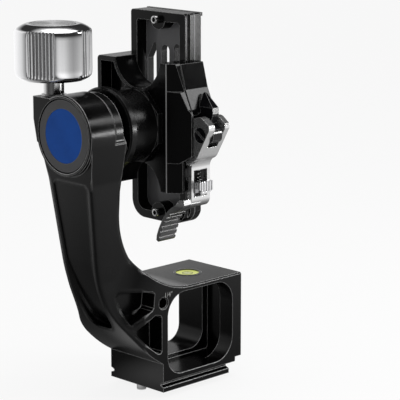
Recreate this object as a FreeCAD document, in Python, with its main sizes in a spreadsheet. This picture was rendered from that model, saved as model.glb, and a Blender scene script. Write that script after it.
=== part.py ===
import FreeCAD, Part
import math
import os

import Sketcher
from FreeCAD import Rotation, Vector

# Side-mount gimbal tripod head.
# The frame: X runs along the tilt axis, from the medallion side (-X) to the lens plate (+X).
# Z is up. The lever side is -Y, and the locking knob stands on the +Y side of the barrel.
# The origin is the centre of the dovetail foot's bottom face. Everything is in millimetres.

doc = FreeCAD.newDocument("GimbalHead")
sheet = doc.addObject("Spreadsheet::Sheet", "Sizes")

# ---------------------------------------------------------------- driving dimensions

DRIVING = [
    # dovetail foot and base block
    ("foot_wide", 38.1), ("foot_long", 46.0), ("foot_lip_high", 2.4), ("foot_groove_deep", 2.2),
    ("foot_high", 5.1), ("base_long", 54.8), ("base_bottom", 7.5), ("deck_high", 51.2),
    ("foot_screw_rad", 2.4), ("foot_screw_inset", 3.1), ("foot_screw_proud", 3.0), ("foot_seat", 0.5),
    ("foot_shank_rad", 1.5), ("rim_chamfer", 0.7),
    # window through the base
    ("window_back_wall", 3.2), ("window_front_wall", 6.2), ("window_floor", 7.6),
    ("window_roof", 2.3), ("window_rad", 11.0), ("window_far_rad", 4.5), ("window_near_deep", 9.5),
    ("window_channel_wide", 11.4), ("window_channel_wall", 3.2), ("window_far_floor", 10.0),
    # swan neck
    ("axis_high", 131.4), ("arm_outer_rad", 76.6), ("arm_inner_rad", 42.5), ("arm_back_x", 64.2),
    ("arm_back_z", 70.0), ("arm_top_x", 72.6), ("arm_inner_x", 50.6), ("arm_heel_z", 14.5),
    ("neck_half_low", 11.9), ("neck_half_top", 16.8), ("neck_low_z", 60.0),
    ("channel_deep", 0.5), ("channel_rim", 3.4), ("pocket_deep", 9.0), ("pocket_rim", 6.0),
    ("thread_rad", 2.6), ("thread_mouth_rad", 3.2), ("thread_deep", 9.0), ("thread_z", 45.4),
    # barrel
    ("barrel_rad", 19.4), ("barrel_x", 73.4), ("barrel_step_x", 57.8), ("nose_rad", 18.6),
    ("nose_x", 51.6), ("ear_high", 16.8), ("ear_y", 21.1), ("knob_y", 15.0),
    ("cap_rad", 17.5), ("cap_thick", 3.0), ("medal_rad", 13.0), ("medal_thick", 0.9),
    ("drum_rad", 12.5), ("drum_long", 8.0), ("journal_rad", 7.5), ("bearing_rad", 14.0),
    ("bearing_wide", 7.0), ("race_thick", 1.8), ("race_groove", 0.55), ("ball_rad", 2.0),
    ("clip_thick", 1.0),
    ("clip_lip", 0.6), ("shoe_rad", 3.6), ("shoe_low", 0.9), ("shoe_high", 8.0),
    # knob
    ("knob_rad", 18.4), ("knob_low", 24.8), ("knob_high", 51.0), ("knob_shoulder", 3.2),
    ("knob_disc_rad", 11.2), ("knob_disc_thick", 1.0), ("stem_rad", 4.9), ("screw_rad", 3.95),
    ("washer_rad", 6.0), ("washer_thick", 0.7),
    # hub
    ("hub_gap", 3.0), ("hub_ring_rad", 20.4), ("hub_ring_wide", 4.4), ("hub_rad", 17.5),
    ("flange_thick", 3.0), ("hub_wall", 4.0), ("bolt_rad", 4.0), ("bolt_head_rad", 5.2),
    ("screw_y", 6.5), ("screw_z", 11.3), ("hub_screw_rad", 1.5), ("hub_head_rad", 2.8),
    # clamp
    ("clamp_back_x", 26.0), ("seat_x", 12.1), ("clamp_front_x", 5.0), ("clamp_half", 31.2),
    ("clamp_far_y", 28.2), ("cheek_front_x", 20.3), ("cheek_edge_y", 20.2), ("slab_near_y", 14.0),
    ("jaw_near_y", 14.7), ("jaw_back_x", 19.8), ("bite_rad", 15.8), ("bite_apex", 17.6),
    ("jaw_pin_rad", 2.0), ("jaw_pin_z", 17.0),
    ("link_pin_rad", 1.5), ("link_pin_y", 9.8), ("clamp_corner", 2.0), ("bite_wall", 1.3),
    ("recess_rim", 2.4), ("recess_deep", 7.0),
    # lens plate
    ("plate_back_x", 11.9), ("plate_front_x", 1.0), ("plate_wide", 38.0), ("plate_top", 53.4),
    ("plate_bottom", 50.1), ("plate_web", 4.2), ("plate_wall", 4.1), ("lip_thick", 1.2),
    ("flank", 1.8), ("neck_deep", 0.6), ("plate_side", 18.6), ("stop_rad", 2.0),
    ("stop_proud", 2.8), ("stop_shank_rad", 1.25), ("stop_boss_rad", 4.9),
    # lever, link and button
    ("pivot_y", 36.7), ("pivot_drop", 1.8), ("pivot_rad", 2.0), ("pivot_head_rad", 3.8),
    ("lever_x", 20.0), ("lever_front_x", 6.2), ("ear_thick", 4.0), ("ear_front_thick", 3.0),
    ("strip_x", 18.6), ("lever_face", 6.8), ("lever_thick", 2.5), ("cam_gap", 0.6), ("cam_rad", 9.5),
    ("tail_x", 23.4), ("tail_front_x", 12.5),
    ("link_eye_rad", 5.2), ("link_x", 15.6), ("link_front_x", 9.6), ("link_tail_thick", 3.0),
    ("horn_x", 13.6), ("horn_tip_x", 10.4), ("horn_low", 5.8),
    ("slot_x", 17.0), ("slot_front_x", 8.1), ("button_x", 16.2), ("button_front_x", 7.2), ("fork_web", 6.4),
    # round level
    ("level_x", 8.0), ("level_rad", 6.9), ("level_wall", 0.9), ("level_deep", 1.6),
    # clearances
    ("fit", 0.05), ("gap", 0.3),
]


class Size:
    """A dimension that knows both its number and the spreadsheet formula it comes from."""

    def __init__(self, number, formula):
        self.number = float(number)
        self.formula = formula

    def joined(self, other, sign, number):
        return Size(number, "(%s %s %s)" % (self.formula, sign, other.formula))

    def __add__(self, other):
        return self.joined(sized(other), "+", self.number + sized(other).number)

    def __sub__(self, other):
        return self.joined(sized(other), "-", self.number - sized(other).number)

    def __mul__(self, other):
        return self.joined(sized(other), "*", self.number * sized(other).number)

    def __truediv__(self, other):
        return self.joined(sized(other), "/", self.number / sized(other).number)

    def __neg__(self):
        return Size(-self.number, "(0 - %s)" % self.formula)

    def __radd__(self, other):
        return sized(other) + self

    def __rsub__(self, other):
        return sized(other) - self

    def __rmul__(self, other):
        return sized(other) * self


def sized(value):
    """A plain number as a Size."""
    return value if isinstance(value, Size) else Size(value, "(%.6f)" % value)


class Sizes:
    """The driving dimensions by name."""


D = Sizes()
for row, (name, value) in enumerate(DRIVING, start=1):
    sheet.set("A%d" % row, name)
    sheet.set("B%d" % row, str(value))
    sheet.setAlias("B%d" % row, name)
    setattr(D, name, Size(value, "Sizes.%s" % name))
doc.recompute()

# ---------------------------------------------------------------- helpers

NODES = []
used = {}


def tag(word):
    """A document name that no other object has."""
    used[word] = used.get(word, 0) + 1
    return "%s_%d" % (word, used[word])


def bind(thing, **sizes):
    """Bind properties of an object to spreadsheet formulas."""
    for name, size in sizes.items():
        thing.setExpression(name, sized(size).formula)
    return thing


def place(thing, x=0, y=0, z=0, turn=None):
    """Put an object's own origin at a point, turned by a fixed rotation."""
    here = [sized(x), sized(y), sized(z)]
    thing.Placement = FreeCAD.Placement(Vector(*[s.number for s in here]), turn or Rotation())
    for axis, size in zip("xyz", here):
        thing.setExpression("Placement.Base.%s" % axis, size.formula)
    return thing


AXIS_TURN = {"x": Rotation(Vector(0, 1, 0), 90), "y": Rotation(Vector(1, 0, 0), -90), "z": Rotation()}
# a sketch on the yz plane has its own x along +Y and its own y along +Z
PLANE_TURN = {"xy": Rotation(), "xz": Rotation(Vector(1, 0, 0), 90), "yz": Rotation(Vector(1, 1, 1), 120)}
PLANE_AXIS = {"xy": ("z", Vector(0, 0, 1)), "xz": ("y", Vector(0, 1, 0)), "yz": ("x", Vector(1, 0, 0))}


def rod(axis, rad, length, x=0, y=0, z=0):
    """A cylinder that starts at a point and runs in the positive direction of an axis."""
    made = doc.addObject("Part::Cylinder", tag("rod"))
    bind(made, Radius=rad, Height=length)
    return place(made, x, y, z, AXIS_TURN[axis])


def taper(axis, rad_start, rad_end, length, x=0, y=0, z=0):
    """A cone frustum along an axis."""
    made = doc.addObject("Part::Cone", tag("taper"))
    bind(made, Radius1=rad_start, Radius2=rad_end, Height=length)
    return place(made, x, y, z, AXIS_TURN[axis])


def ball(rad, x=0, y=0, z=0):
    made = doc.addObject("Part::Sphere", tag("ball"))
    bind(made, Radius=rad)
    return place(made, x, y, z)


def ring(axis, rad_mid, rad_wire, x=0, y=0, z=0):
    made = doc.addObject("Part::Torus", tag("ring"))
    bind(made, Radius1=rad_mid, Radius2=rad_wire)
    return place(made, x, y, z, AXIS_TURN[axis])


def prism(sides, rad, length, x, y, z, turn):
    """An upright prism with a regular section, turned about its axis by an angle in degrees."""
    made = doc.addObject("Part::Prism", tag("prism"))
    made.Polygon = sides
    bind(made, Circumradius=rad, Height=length)
    return place(made, x, y, z, Rotation(Vector(0, 0, 1), turn))


def block(x0, x1, y0, y1, z0, z1):
    """A box between two corners."""
    made = doc.addObject("Part::Box", tag("block"))
    bind(made, Length=sized(x1) - x0, Width=sized(y1) - y0, Height=sized(z1) - z0)
    return place(made, x0, y0, z0)


def fuse(*parts):
    if len(parts) == 1:
        return parts[0]
    made = doc.addObject("Part::MultiFuse", tag("fuse"))
    made.Shapes = list(parts)
    made.Refine = True
    return made


def cut(base, *tools):
    made = doc.addObject("Part::Cut", tag("cut"))
    made.Base = base
    made.Tool = fuse(*tools)
    made.Refine = True
    return made


def common(first, second):
    made = doc.addObject("Part::MultiCommon", tag("common"))
    made.Shapes = [first, second]
    made.Refine = True
    return made


def arc_centre(a, b, rad):
    """The centre of the short arc from a to b. A positive radius turns left."""
    half = Vector((b[0] - a[0]) / 2, (b[1] - a[1]) / 2, 0)
    rise = math.sqrt(max(rad * rad - half.Length ** 2, 0.0)) * (1 if rad > 0 else -1)
    left = Vector(-half.y, half.x, 0).normalize()
    return Vector(a[0], a[1], 0) + half + left * rise


def outline(plane, corners):
    """A closed sketch. A corner is (x, y) or (x, y, radius): the radius bends the edge to the next
    corner, to the left if it is positive. Corners and radii are bound to the sheet."""
    made = doc.addObject("Sketcher::SketchObject", tag("outline"))
    spots = [(sized(c[0]), sized(c[1])) for c in corners]
    plain = [(x.number, y.number) for x, y in spots]
    total = len(corners)
    ends = []
    for i, corner in enumerate(corners):
        a = plain[i]
        b = plain[(i + 1) % total]
        if len(corner) == 2:
            made.addGeometry(Part.LineSegment(Vector(a[0], a[1], 0), Vector(b[0], b[1], 0)))
            ends.append((1, 2))
            continue
        rad = sized(corner[2]).number
        middle = arc_centre(a, b, rad)
        start, stop = (a, b) if rad > 0 else (b, a)
        angles = [math.atan2(p[1] - middle.y, p[0] - middle.x) for p in (start, stop)]
        made.addGeometry(Part.ArcOfCircle(Part.Circle(middle, Vector(0, 0, 1), abs(rad)), *angles))
        ends.append((1, 2) if rad > 0 else (2, 1))
    for i in range(total):
        after = (i + 1) % total
        made.addConstraint(Sketcher.Constraint("Coincident", i, ends[i][1], after, ends[after][0]))
    for i, (x, y) in enumerate(spots):
        for kind, size in (("DistanceX", x), ("DistanceY", y)):
            rule = made.addConstraint(Sketcher.Constraint(kind, -1, 1, i, ends[i][0], size.number))
            made.setExpression("Constraints[%d]" % rule, size.formula)
        if len(corners[i]) == 3:
            rad = sized(corners[i][2])
            rad = rad if rad.number > 0 else -rad
            rule = made.addConstraint(Sketcher.Constraint("Radius", i, rad.number))
            made.setExpression("Constraints[%d]" % rule, rad.formula)
    made.Placement = FreeCAD.Placement(Vector(), PLANE_TURN[plane])
    return made


def slab(plane, corners, start, end, lean=None):
    """An outline drawn out along its plane's axis, from start to end."""
    axis, along = PLANE_AXIS[plane]
    drawn = outline(plane, corners)
    drawn.setExpression("Placement.Base.%s" % axis, sized(start).formula)
    made = doc.addObject("Part::Extrusion", tag("slab"))
    made.Base = drawn
    made.DirMode = "Custom"
    made.Dir = lean or along
    made.Solid = True
    return bind(made, LengthFwd=sized(end) - start)


def turned(axis, points, x=0, y=0, z=0):
    """A body of revolution about the x or z axis. Points are (along, radius)."""
    upright = axis == "z"
    made = doc.addObject("Part::Revolution", tag("turned"))
    made.Source = outline("xz" if upright else "xy", [(p[1], p[0]) + p[2:] if upright else p for p in points])
    made.Axis = PLANE_AXIS["xy" if upright else "yz"][1]
    made.Angle = 360
    made.Solid = True
    return place(made, x, y, z)


def rounded(x0, x1, y0, y1, *rads):
    """Corners of a rectangle with rounded corners: one radius, or four from the lower left on."""
    x0, x1, y0, y1 = [sized(v) for v in (x0, x1, y0, y1)]
    a, b, c, d = [sized(r) for r in (rads if len(rads) == 4 else rads * 4)]
    return [
        (x0 + a, y0), (x1 - b, y0, b), (x1, y0 + b), (x1, y1 - c, c),
        (x1 - c, y1), (x0 + d, y1, d), (x0, y1 - d), (x0, y0 + a, a),
    ]


def around(y, z, corners):
    """Corners given from a point, as corners of the outline."""
    return [(y + c[0], z + c[1]) + tuple(c[2:]) for c in corners]


def edges(kind, base, size, wanted):
    """Round or chamfer the edges that wanted(edge) picks."""
    doc.recompute()
    picks = [i for i, edge in enumerate(base.Shape.Edges, start=1) if wanted(edge)]
    if not picks:
        raise RuntimeError("no edge picked on %s" % base.Name)
    made = doc.addObject("Part::%s" % kind, tag("edges"))
    made.Base = base
    made.Edges = [(i, size.number, size.number) for i in picks]
    return made


def node(name, made):
    """Name a finished piece. The name is also its file's name."""
    made.Label = name
    NODES.append(made)
    return made


def group(*parts):
    """Separate solids that share one node."""
    made = doc.addObject("Part::Compound", tag("group"))
    made.Links = list(parts)
    return made


# ---------------------------------------------------------------- places that pieces share

foot_half = D.foot_wide / 2
base_x0 = -(D.base_long / 2)
base_x1 = D.base_long / 2
foot_x1 = base_x0 + D.foot_long
axis_z = D.axis_high
barrel_x0 = -D.barrel_x
step_x = -D.barrel_step_x
nose_x = -D.nose_x
knob_x = (barrel_x0 + step_x) / 2
ear_top = axis_z + D.ear_high
# stack inside the barrel, from the end cap to the circlip
cap_seat = barrel_x0 + D.cap_thick + D.gap
clip_x1 = nose_x - D.clip_lip
clip_x0 = clip_x1 - D.clip_thick
bearing_x0 = clip_x0 - D.bearing_wide
drum_x0 = cap_seat + D.gap
drum_x1 = drum_x0 + D.drum_long
drum_bore = D.drum_rad + D.gap
# hub and clamp
hub_x0 = nose_x + D.hub_gap
ring_x1 = hub_x0 + D.hub_ring_wide
back_x = -D.clamp_back_x
seat_x = -D.seat_x
front_x = -D.clamp_front_x
cheek_x = -D.cheek_front_x
clamp_z0 = axis_z - D.clamp_half
clamp_z1 = axis_z + D.clamp_half
journal_x1 = back_x - D.hub_wall
# lens plate
plate_half = D.plate_wide / 2
plate_x0 = -D.plate_back_x
plate_x1 = -D.plate_front_x
plate_z0 = axis_z - D.plate_bottom
plate_z1 = axis_z + D.plate_top
groove_half = plate_half + D.gap
tooth_half = plate_half - D.flank + 0.2
tooth_x = plate_x0 + D.lip_thick + D.flank + 0.25
# lever
pivot_y = -D.pivot_y
pivot_z = axis_z - D.pivot_drop
cam_clear = D.cam_rad + D.cam_gap
lever_x0 = -D.lever_x
lever_x1 = -D.lever_front_x
strip_out = pivot_y + D.lever_face
strip_in = strip_out + D.lever_thick


# ---------------------------------------------------------------- arm

def side_outline():
    """The swan neck and the base seen along Y."""
    return [
        (base_x0, 0), (base_x0, D.arm_heel_z, -D.arm_outer_rad), (-D.arm_back_x, D.arm_back_z),
        (-D.arm_top_x, axis_z), (-D.arm_inner_x, axis_z),
        (-D.arm_inner_x, D.deck_high + D.arm_inner_rad, D.arm_inner_rad),
        (-D.arm_inner_x + D.arm_inner_rad, D.deck_high), (base_x1, D.deck_high),
        (base_x1, D.base_bottom), (foot_x1 + 4.6, D.base_bottom), (foot_x1 + 4.6, D.base_bottom - 1.4, -2.0),
        (foot_x1 + 2.6, D.base_bottom - 3.4), (foot_x1, D.base_bottom - 3.4), (foot_x1, 0),
    ]


def neck_outline():
    """The slim neck seen along X, with its blend into the barrel."""
    blend_z = axis_z - 22.4
    blend_half = D.neck_half_top - 1.6
    return [
        (-D.neck_half_low, 0), (D.neck_half_low, 0), (D.neck_half_low, D.neck_low_z),
        (blend_half, blend_z), (D.barrel_rad * 0.979, axis_z - D.barrel_rad * 0.2),
        (D.neck_half_top, axis_z), (-D.neck_half_top, axis_z),
        (-D.barrel_rad * 0.979, axis_z - D.barrel_rad * 0.2), (-blend_half, blend_z),
        (-D.neck_half_low, D.neck_low_z),
    ]


def flare():
    """The slim neck widens into the base along a double bend that leans with the neck."""
    lean = 0.5
    level = 45.0
    start = -20.0
    shift = lean * (start - level)
    slim_x = -62.0 + shift
    full_x = -33.0 + shift
    mid_x = (slim_x + full_x) / 2
    slim = D.neck_half_low
    mid = (slim + foot_half) / 2
    run = (full_x - slim_x) / 2
    rise = (foot_half - slim) / 2
    bend = (run * run + rise * rise) / (rise * 2)
    plan = [
        (slim_x, -slim, -bend), (mid_x, -mid, bend), (full_x, -foot_half), (base_x1 + 60, -foot_half),
        (base_x1 + 60, foot_half), (full_x, foot_half, bend), (mid_x, mid, -bend), (slim_x, slim),
    ]
    return slab("xy", plan, start, 120.0, Vector(lean, 0, 1))


def foot_grooves():
    """The undercuts on both sides of the dovetail foot."""
    lip = D.foot_lip_high
    root = (D.foot_high + lip) / 2
    tools = []
    for side in (-1, 1):
        edge = foot_half * side
        tools.append(slab("yz", [
            (edge, lip), (edge - D.foot_groove_deep * side, root - 0.4),
            (edge - D.foot_groove_deep * side, root + 0.4), (edge, D.foot_high),
            (edge + side, D.foot_high), (edge + side, lip),
        ], base_x0 - 1, base_x1 + 1))
    return tools


def window():
    """The opening through the base: a wide near part, a channel for a clamp, a narrower far part."""
    x0 = base_x0 + D.window_back_wall
    near_x1 = base_x1 - D.window_front_wall
    channel_x1 = base_x1 - D.window_channel_wall
    roof = D.deck_high - D.window_roof
    near_y1 = -foot_half + D.window_near_deep
    far_y0 = near_y1 + D.window_channel_wide
    rad = D.window_rad
    near = slab("xz", rounded(x0, near_x1, D.window_floor, roof, rad - 1.5, rad + 1, rad, rad + 0.5),
                -foot_half - 1, near_y1)
    channel = slab("xz", rounded(x0, channel_x1, D.window_floor, roof, 2.0), near_y1 - 0.5, far_y0)
    small = D.window_far_rad
    far = slab("xz", rounded(x0, near_x1 - 0.8, D.window_far_floor, roof, small, small + 4, small, small),
               far_y0 - 0.5, foot_half + 1)
    return [near, channel, far]


def side_pockets():
    """Two blind pockets on each side of the base, with a rib between them."""
    rim = D.arm_outer_rad - D.pocket_rim
    upper = [(-50.6, 53.6), (-51.9, 51.8, rim), (-47.6, 38.4), (-46.2, 37.7), (-34.6, 42.9), (-33.6, 44.2),
             (-32.7, 51.2), (-33.8, 52.4)]
    lower = [(-32.4, 40.4), (-44.6, 34.8), (-44.7, 33.0, rim), (-30.8, 20.4), (-29.2, 20.2), (-28.2, 21.4),
             (-28.2, 38.4), (-29.0, 39.6)]
    tools = []
    for shape in (upper, lower):
        tools.append(slab("xz", shape, -foot_half - 5, -foot_half + D.pocket_deep))
        tools.append(slab("xz", shape, foot_half - D.pocket_deep, foot_half + 5))
    return tools


def back_channel():
    """A shallow channel sunk into the neck's outer face."""
    top = axis_z - D.barrel_rad - 3.2
    low = 34.0
    lean = (D.arm_top_x - D.arm_back_x) / (axis_z - D.arm_back_z)
    top_x = -D.arm_back_x - lean * (top - D.arm_back_z) + D.channel_deep
    side = slab("xz", [
        (-90, top), (-90, low), (-43.9 + D.channel_deep, low, -(D.arm_outer_rad - D.channel_deep)),
        (-D.arm_back_x + D.channel_deep, D.arm_back_z), (top_x, top),
    ], -20, 20)
    half_low = D.neck_half_low - D.channel_rim
    half_top = D.neck_half_top - D.channel_rim - 1.2
    face = slab("yz", [
        (-half_low + 5, low), (half_low - 5, low, 5), (half_low, low + 5), (half_low, D.neck_low_z),
        (half_top, top - 2), (half_top - 2, top), (-half_top + 2, top), (-half_top, top - 2),
        (-half_low, D.neck_low_z), (-half_low, low + 5, 5),
    ], -95, -30)
    return common(side, face)


def barrel():
    """The barrel, its slimmer nose and the ear that carries the knob."""
    body = turned("x", [
        (barrel_x0, 0), (barrel_x0, D.barrel_rad - 0.7), (barrel_x0 + 0.7, D.barrel_rad),
        (step_x, D.barrel_rad), (step_x + 1.2, D.nose_rad), (nose_x - 0.5, D.nose_rad),
        (nose_x, D.nose_rad - 0.5), (nose_x, 0),
    ], z=axis_z)
    ear = slab("yz", around(0, axis_z, [
        (0, 10), (9.7, D.ear_high), (D.ear_y, D.ear_high), (D.ear_y, 6.0), (18.8, -4.8), (10, -8), (0, 0),
    ]), barrel_x0, step_x)
    return [body, ear]


def heel():
    """The neck's heel under the barrel's nose. It stands nearer to the hub than the nose does."""
    heel_x = hub_x0 - D.gap - D.fit
    side = slab("xz", [
        (step_x, axis_z - 2.0), (step_x, axis_z - 24.0), (-D.arm_inner_x, axis_z - 24.0),
        (-D.arm_inner_x, axis_z - 19.0), (heel_x, axis_z - 12.0), (heel_x, axis_z - 6.6),
        (nose_x, axis_z - 2.0),
    ], -D.barrel_rad, D.barrel_rad)
    return common(side, rod("x", D.nose_rad + 0.3, 20, step_x - 5, 0, axis_z))


def barrel_bores():
    """Everything that is bored into the barrel."""
    shoe_z0 = axis_z - D.shoe_low - D.gap
    return [
        rod("x", D.cap_rad + D.gap, D.cap_thick + D.gap + 5, barrel_x0 - 5, 0, axis_z),
        rod("x", drum_bore, bearing_x0 - cap_seat + 1, cap_seat - 1, 0, axis_z),
        rod("x", D.bearing_rad, nose_x - bearing_x0 + 5, bearing_x0, 0, axis_z),
        rod("x", D.bearing_rad + 1, D.clip_thick, clip_x0, 0, axis_z),
        rod("z", D.shoe_rad + D.fit, ear_top - shoe_z0, knob_x, D.knob_y, shoe_z0),
        rod("z", D.screw_rad + D.fit, D.ear_high - D.shoe_high + 1, knob_x, D.knob_y, axis_z + D.shoe_high),
        rod("z", D.washer_rad + D.gap, 5, knob_x, D.knob_y, ear_top),
    ]


def deck_rim(edge):
    """True for the long edges beside the deck and the inner bend of the neck."""
    middle = edge.valueAt((edge.FirstParameter + edge.LastParameter) / 2)
    bend_x = D.arm_inner_rad.number - D.arm_inner_x.number
    bend_z = (D.deck_high + D.arm_inner_rad).number
    on_bend = abs(math.hypot(middle.x - bend_x, middle.z - bend_z) - D.arm_inner_rad.number) < 0.05
    on_deck = edge.BoundBox.ZLength < 0.1 and abs(middle.z - D.deck_high.number) < 0.05
    return edge.Length > 3 and abs(middle.y) > 9 and (on_bend or on_deck)


def make_arm():
    outer = slab("xz", side_outline(), -foot_half, foot_half)
    front = fuse(slab("yz", neck_outline(), -100, 100), flare())
    body = edges("Chamfer", common(outer, front), D.rim_chamfer, deck_rim)
    body = fuse(body, heel(), *barrel())
    tools = barrel_bores() + window() + foot_grooves() + side_pockets() + [back_channel()]
    tools.append(rod("y", D.thread_rad, D.thread_deep + 5, base_x0 + 0.4, -foot_half - 5, D.thread_z))
    tools.append(taper("y", D.thread_mouth_rad + 1, D.thread_rad, D.thread_mouth_rad + 1 - D.thread_rad,
                       base_x0 + 0.4, -foot_half - 1, D.thread_z))
    tools.append(rod("z", D.level_rad, D.level_deep + 5, D.level_x, 0, D.deck_high - D.level_deep))
    for x in (base_x0 + D.foot_screw_inset, foot_x1 - D.foot_screw_inset):
        tools.append(rod("z", D.foot_shank_rad, D.foot_high + 1, x, 0, -1))
        tools.append(rod("z", D.foot_screw_rad + 0.1, D.foot_seat + 1, x, 0, -1))
    return cut(body, *tools)


node("arm", make_arm())
node("foot_stop_screws", group(*[
    fuse(rod("z", D.foot_screw_rad, D.foot_screw_proud + D.foot_seat, x, 0, -D.foot_screw_proud),
         rod("z", D.foot_shank_rad, D.foot_high - 1.0, x, 0, 0))
    for x in (base_x0 + D.foot_screw_inset, foot_x1 - D.foot_screw_inset)
]))

# ---------------------------------------------------------------- round level in the deck

level_z0 = D.deck_high - D.level_deep
level_in = D.level_rad - D.level_wall
level_floor = level_z0 + 0.3
cover_z0 = D.deck_high - 0.4
node("level_housing", cut(
    rod("z", D.level_rad, D.level_deep + 0.2, D.level_x, 0, level_z0),
    rod("z", level_in, D.level_deep + 1, D.level_x, 0, level_floor),
))
bubble_rad = sized(1.7)
node("level_liquid", cut(
    rod("z", level_in, cover_z0 - level_floor, D.level_x, 0, level_floor),
    rod("z", bubble_rad, 2, D.level_x, 0, cover_z0 - 0.5),
))
node("level_bubble", rod("z", bubble_rad, 0.5, D.level_x, 0, cover_z0 - 0.5))
node("level_lens", rod("z", level_in, 0.5, D.level_x, 0, cover_z0))

# ---------------------------------------------------------------- inside the barrel

node("end_cap", cut(
    turned("x", [
        (barrel_x0, 0), (barrel_x0, D.cap_rad - 0.5), (barrel_x0 + 0.5, D.cap_rad),
        (barrel_x0 + D.cap_thick, D.cap_rad), (barrel_x0 + D.cap_thick, 0),
    ], z=axis_z, x=D.gap),
    rod("x", D.medal_rad, D.medal_thick + 5, barrel_x0 + D.gap - 5, 0, axis_z),
))
node("medallion", rod("x", D.medal_rad - 0.1, D.medal_thick - 0.1, barrel_x0 + D.gap + 0.1, 0, axis_z))

shoe = rod("z", D.shoe_rad, D.shoe_low + D.shoe_high - D.gap, knob_x, D.knob_y, axis_z - D.shoe_low)
node("brake_shoe", cut(shoe, rod("x", drum_bore, D.drum_long * 2, drum_x0 - 3, 0, axis_z)))

spindle = fuse(
    rod("x", D.drum_rad, D.drum_long, drum_x0, 0, axis_z),
    rod("x", D.journal_rad, journal_x1 - drum_x1, drum_x1, 0, axis_z),
)
node("spindle", cut(spindle, rod("x", D.bolt_rad, 20, journal_x1 - 18, 0, axis_z)))
# the balls lie on the inner ring's groove, and the outer ring reaches in to them
race_in = D.journal_rad + D.race_thick
pitch = race_in + D.ball_rad - D.race_groove
race_out = pitch + D.ball_rad - D.race_groove
bearing_mid = bearing_x0 + D.bearing_wide / 2


def race(inner, outer):
    """One bearing ring with the groove that the balls run in."""
    return cut(
        rod("x", outer, D.bearing_wide, bearing_x0, 0, axis_z),
        rod("x", inner, D.bearing_wide + 2, bearing_x0 - 1, 0, axis_z),
        ring("x", pitch, D.ball_rad + D.fit, bearing_mid, 0, axis_z),
    )


def ball_places(total=9):
    for i in range(total):
        turn = 2 * math.pi * i / total
        yield pitch * math.cos(turn), axis_z + pitch * math.sin(turn)


node("bearing_inner_ring", race(D.journal_rad, race_in))
node("bearing_outer_ring", race(race_out, D.bearing_rad))
node("bearing_balls", group(*[ball(D.ball_rad, bearing_mid, y, z) for y, z in ball_places()]))
cage = cut(
    rod("x", pitch + 0.7, 5.0, bearing_mid - 2.5, 0, axis_z),
    rod("x", pitch - 0.7, 8, bearing_mid - 4, 0, axis_z),
    *[ball(D.ball_rad + D.fit, bearing_mid, y, z) for y, z in ball_places()]
)
node("bearing_cage", cage)
node("bearing_spacer", cut(
    rod("x", race_in - 0.2, bearing_x0 - drum_x1, drum_x1, 0, axis_z),
    rod("x", D.journal_rad, 20, drum_x1 - 5, 0, axis_z),
))
node("bearing_circlip", cut(
    rod("x", D.bearing_rad + 0.9, D.clip_thick, clip_x0, 0, axis_z),
    rod("x", D.bearing_rad - 1.3, 10, clip_x0 - 4, 0, axis_z),
    block(clip_x0 - 1, clip_x1 + 1, -2.5, 2.5, axis_z - 20, axis_z),
))

# ---------------------------------------------------------------- locking knob

knob_z0 = axis_z + D.knob_low
knob_z1 = axis_z + D.knob_high
washer_z1 = ear_top + D.washer_thick
stem_z0 = washer_z1 + D.gap
knob_disc_z0 = knob_z1 - D.knob_disc_thick


def make_knob():
    """A round knob with four smooth lobes and, between them, four fields of fine upright ribs."""
    shoulder = D.knob_shoulder
    body = turned("z", [
        (knob_z0, 0), (knob_z0, D.knob_rad - 2.6), (knob_z0 + 1.4, D.knob_rad - 0.6),
        (knob_z0 + 3.0, D.knob_rad), (knob_z1 - shoulder - 0.6, D.knob_rad),
        (knob_z1 - shoulder + 0.6, D.knob_rad - 0.5), (knob_z1 - 0.9, D.knob_rad - shoulder),
        (knob_z1, D.knob_rad - shoulder - 1.8), (knob_z1, 0),
    ], x=knob_x, y=D.knob_y)
    tools = [rod("z", D.knob_disc_rad, 5, knob_x, D.knob_y, knob_disc_z0),
             rod("z", D.stem_rad, 12, knob_x, D.knob_y, knob_z0 - 2)]
    ribs = 8
    for field in range(4):
        for i in range(ribs):
            turn = math.radians(90 * field + 22.0 + 6.4 * (i - (ribs - 1) / 2))
            out = D.knob_rad + 0.45
            tools.append(prism(4, 1.05, 40, knob_x + out * math.cos(turn), D.knob_y + out * math.sin(turn),
                               knob_z0 - 5, math.degrees(turn)))
    return cut(body, *tools)


node("knob_grip", make_knob())
node("knob_cap", turned("z", [
    (knob_disc_z0, 0), (knob_disc_z0, D.knob_disc_rad - 0.1), (knob_z1 - 0.3, D.knob_disc_rad - 0.1),
    (knob_z1, D.knob_disc_rad - 0.5), (knob_z1, 0),
], x=knob_x, y=D.knob_y))
screw_z0 = axis_z + D.shoe_high + D.gap
node("knob_screw", fuse(
    rod("z", D.screw_rad, stem_z0 - screw_z0 + 1, knob_x, D.knob_y, screw_z0),
    rod("z", D.stem_rad, knob_z0 + 10 - stem_z0, knob_x, D.knob_y, stem_z0),
))
node("knob_washer", cut(
    rod("z", D.washer_rad, D.washer_thick, knob_x, D.knob_y, ear_top),
    rod("z", D.screw_rad + D.gap, 5, knob_x, D.knob_y, ear_top - 2),
))

# ---------------------------------------------------------------- hub

HUB_SCREWS = [(y, z) for y in (-D.screw_y, D.screw_y) for z in (-D.screw_z, D.screw_z)]
hub_thread = sized(8.0)


def octagon(across):
    """Corners of an octagon about the tilt axis, with a flat at the top."""
    reach = across / math.cos(math.pi / 8)
    turns = [math.pi * (2 * i + 1) / 8 for i in range(8)]
    return [(reach * math.cos(a), axis_z + reach * math.sin(a)) for a in turns]


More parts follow.
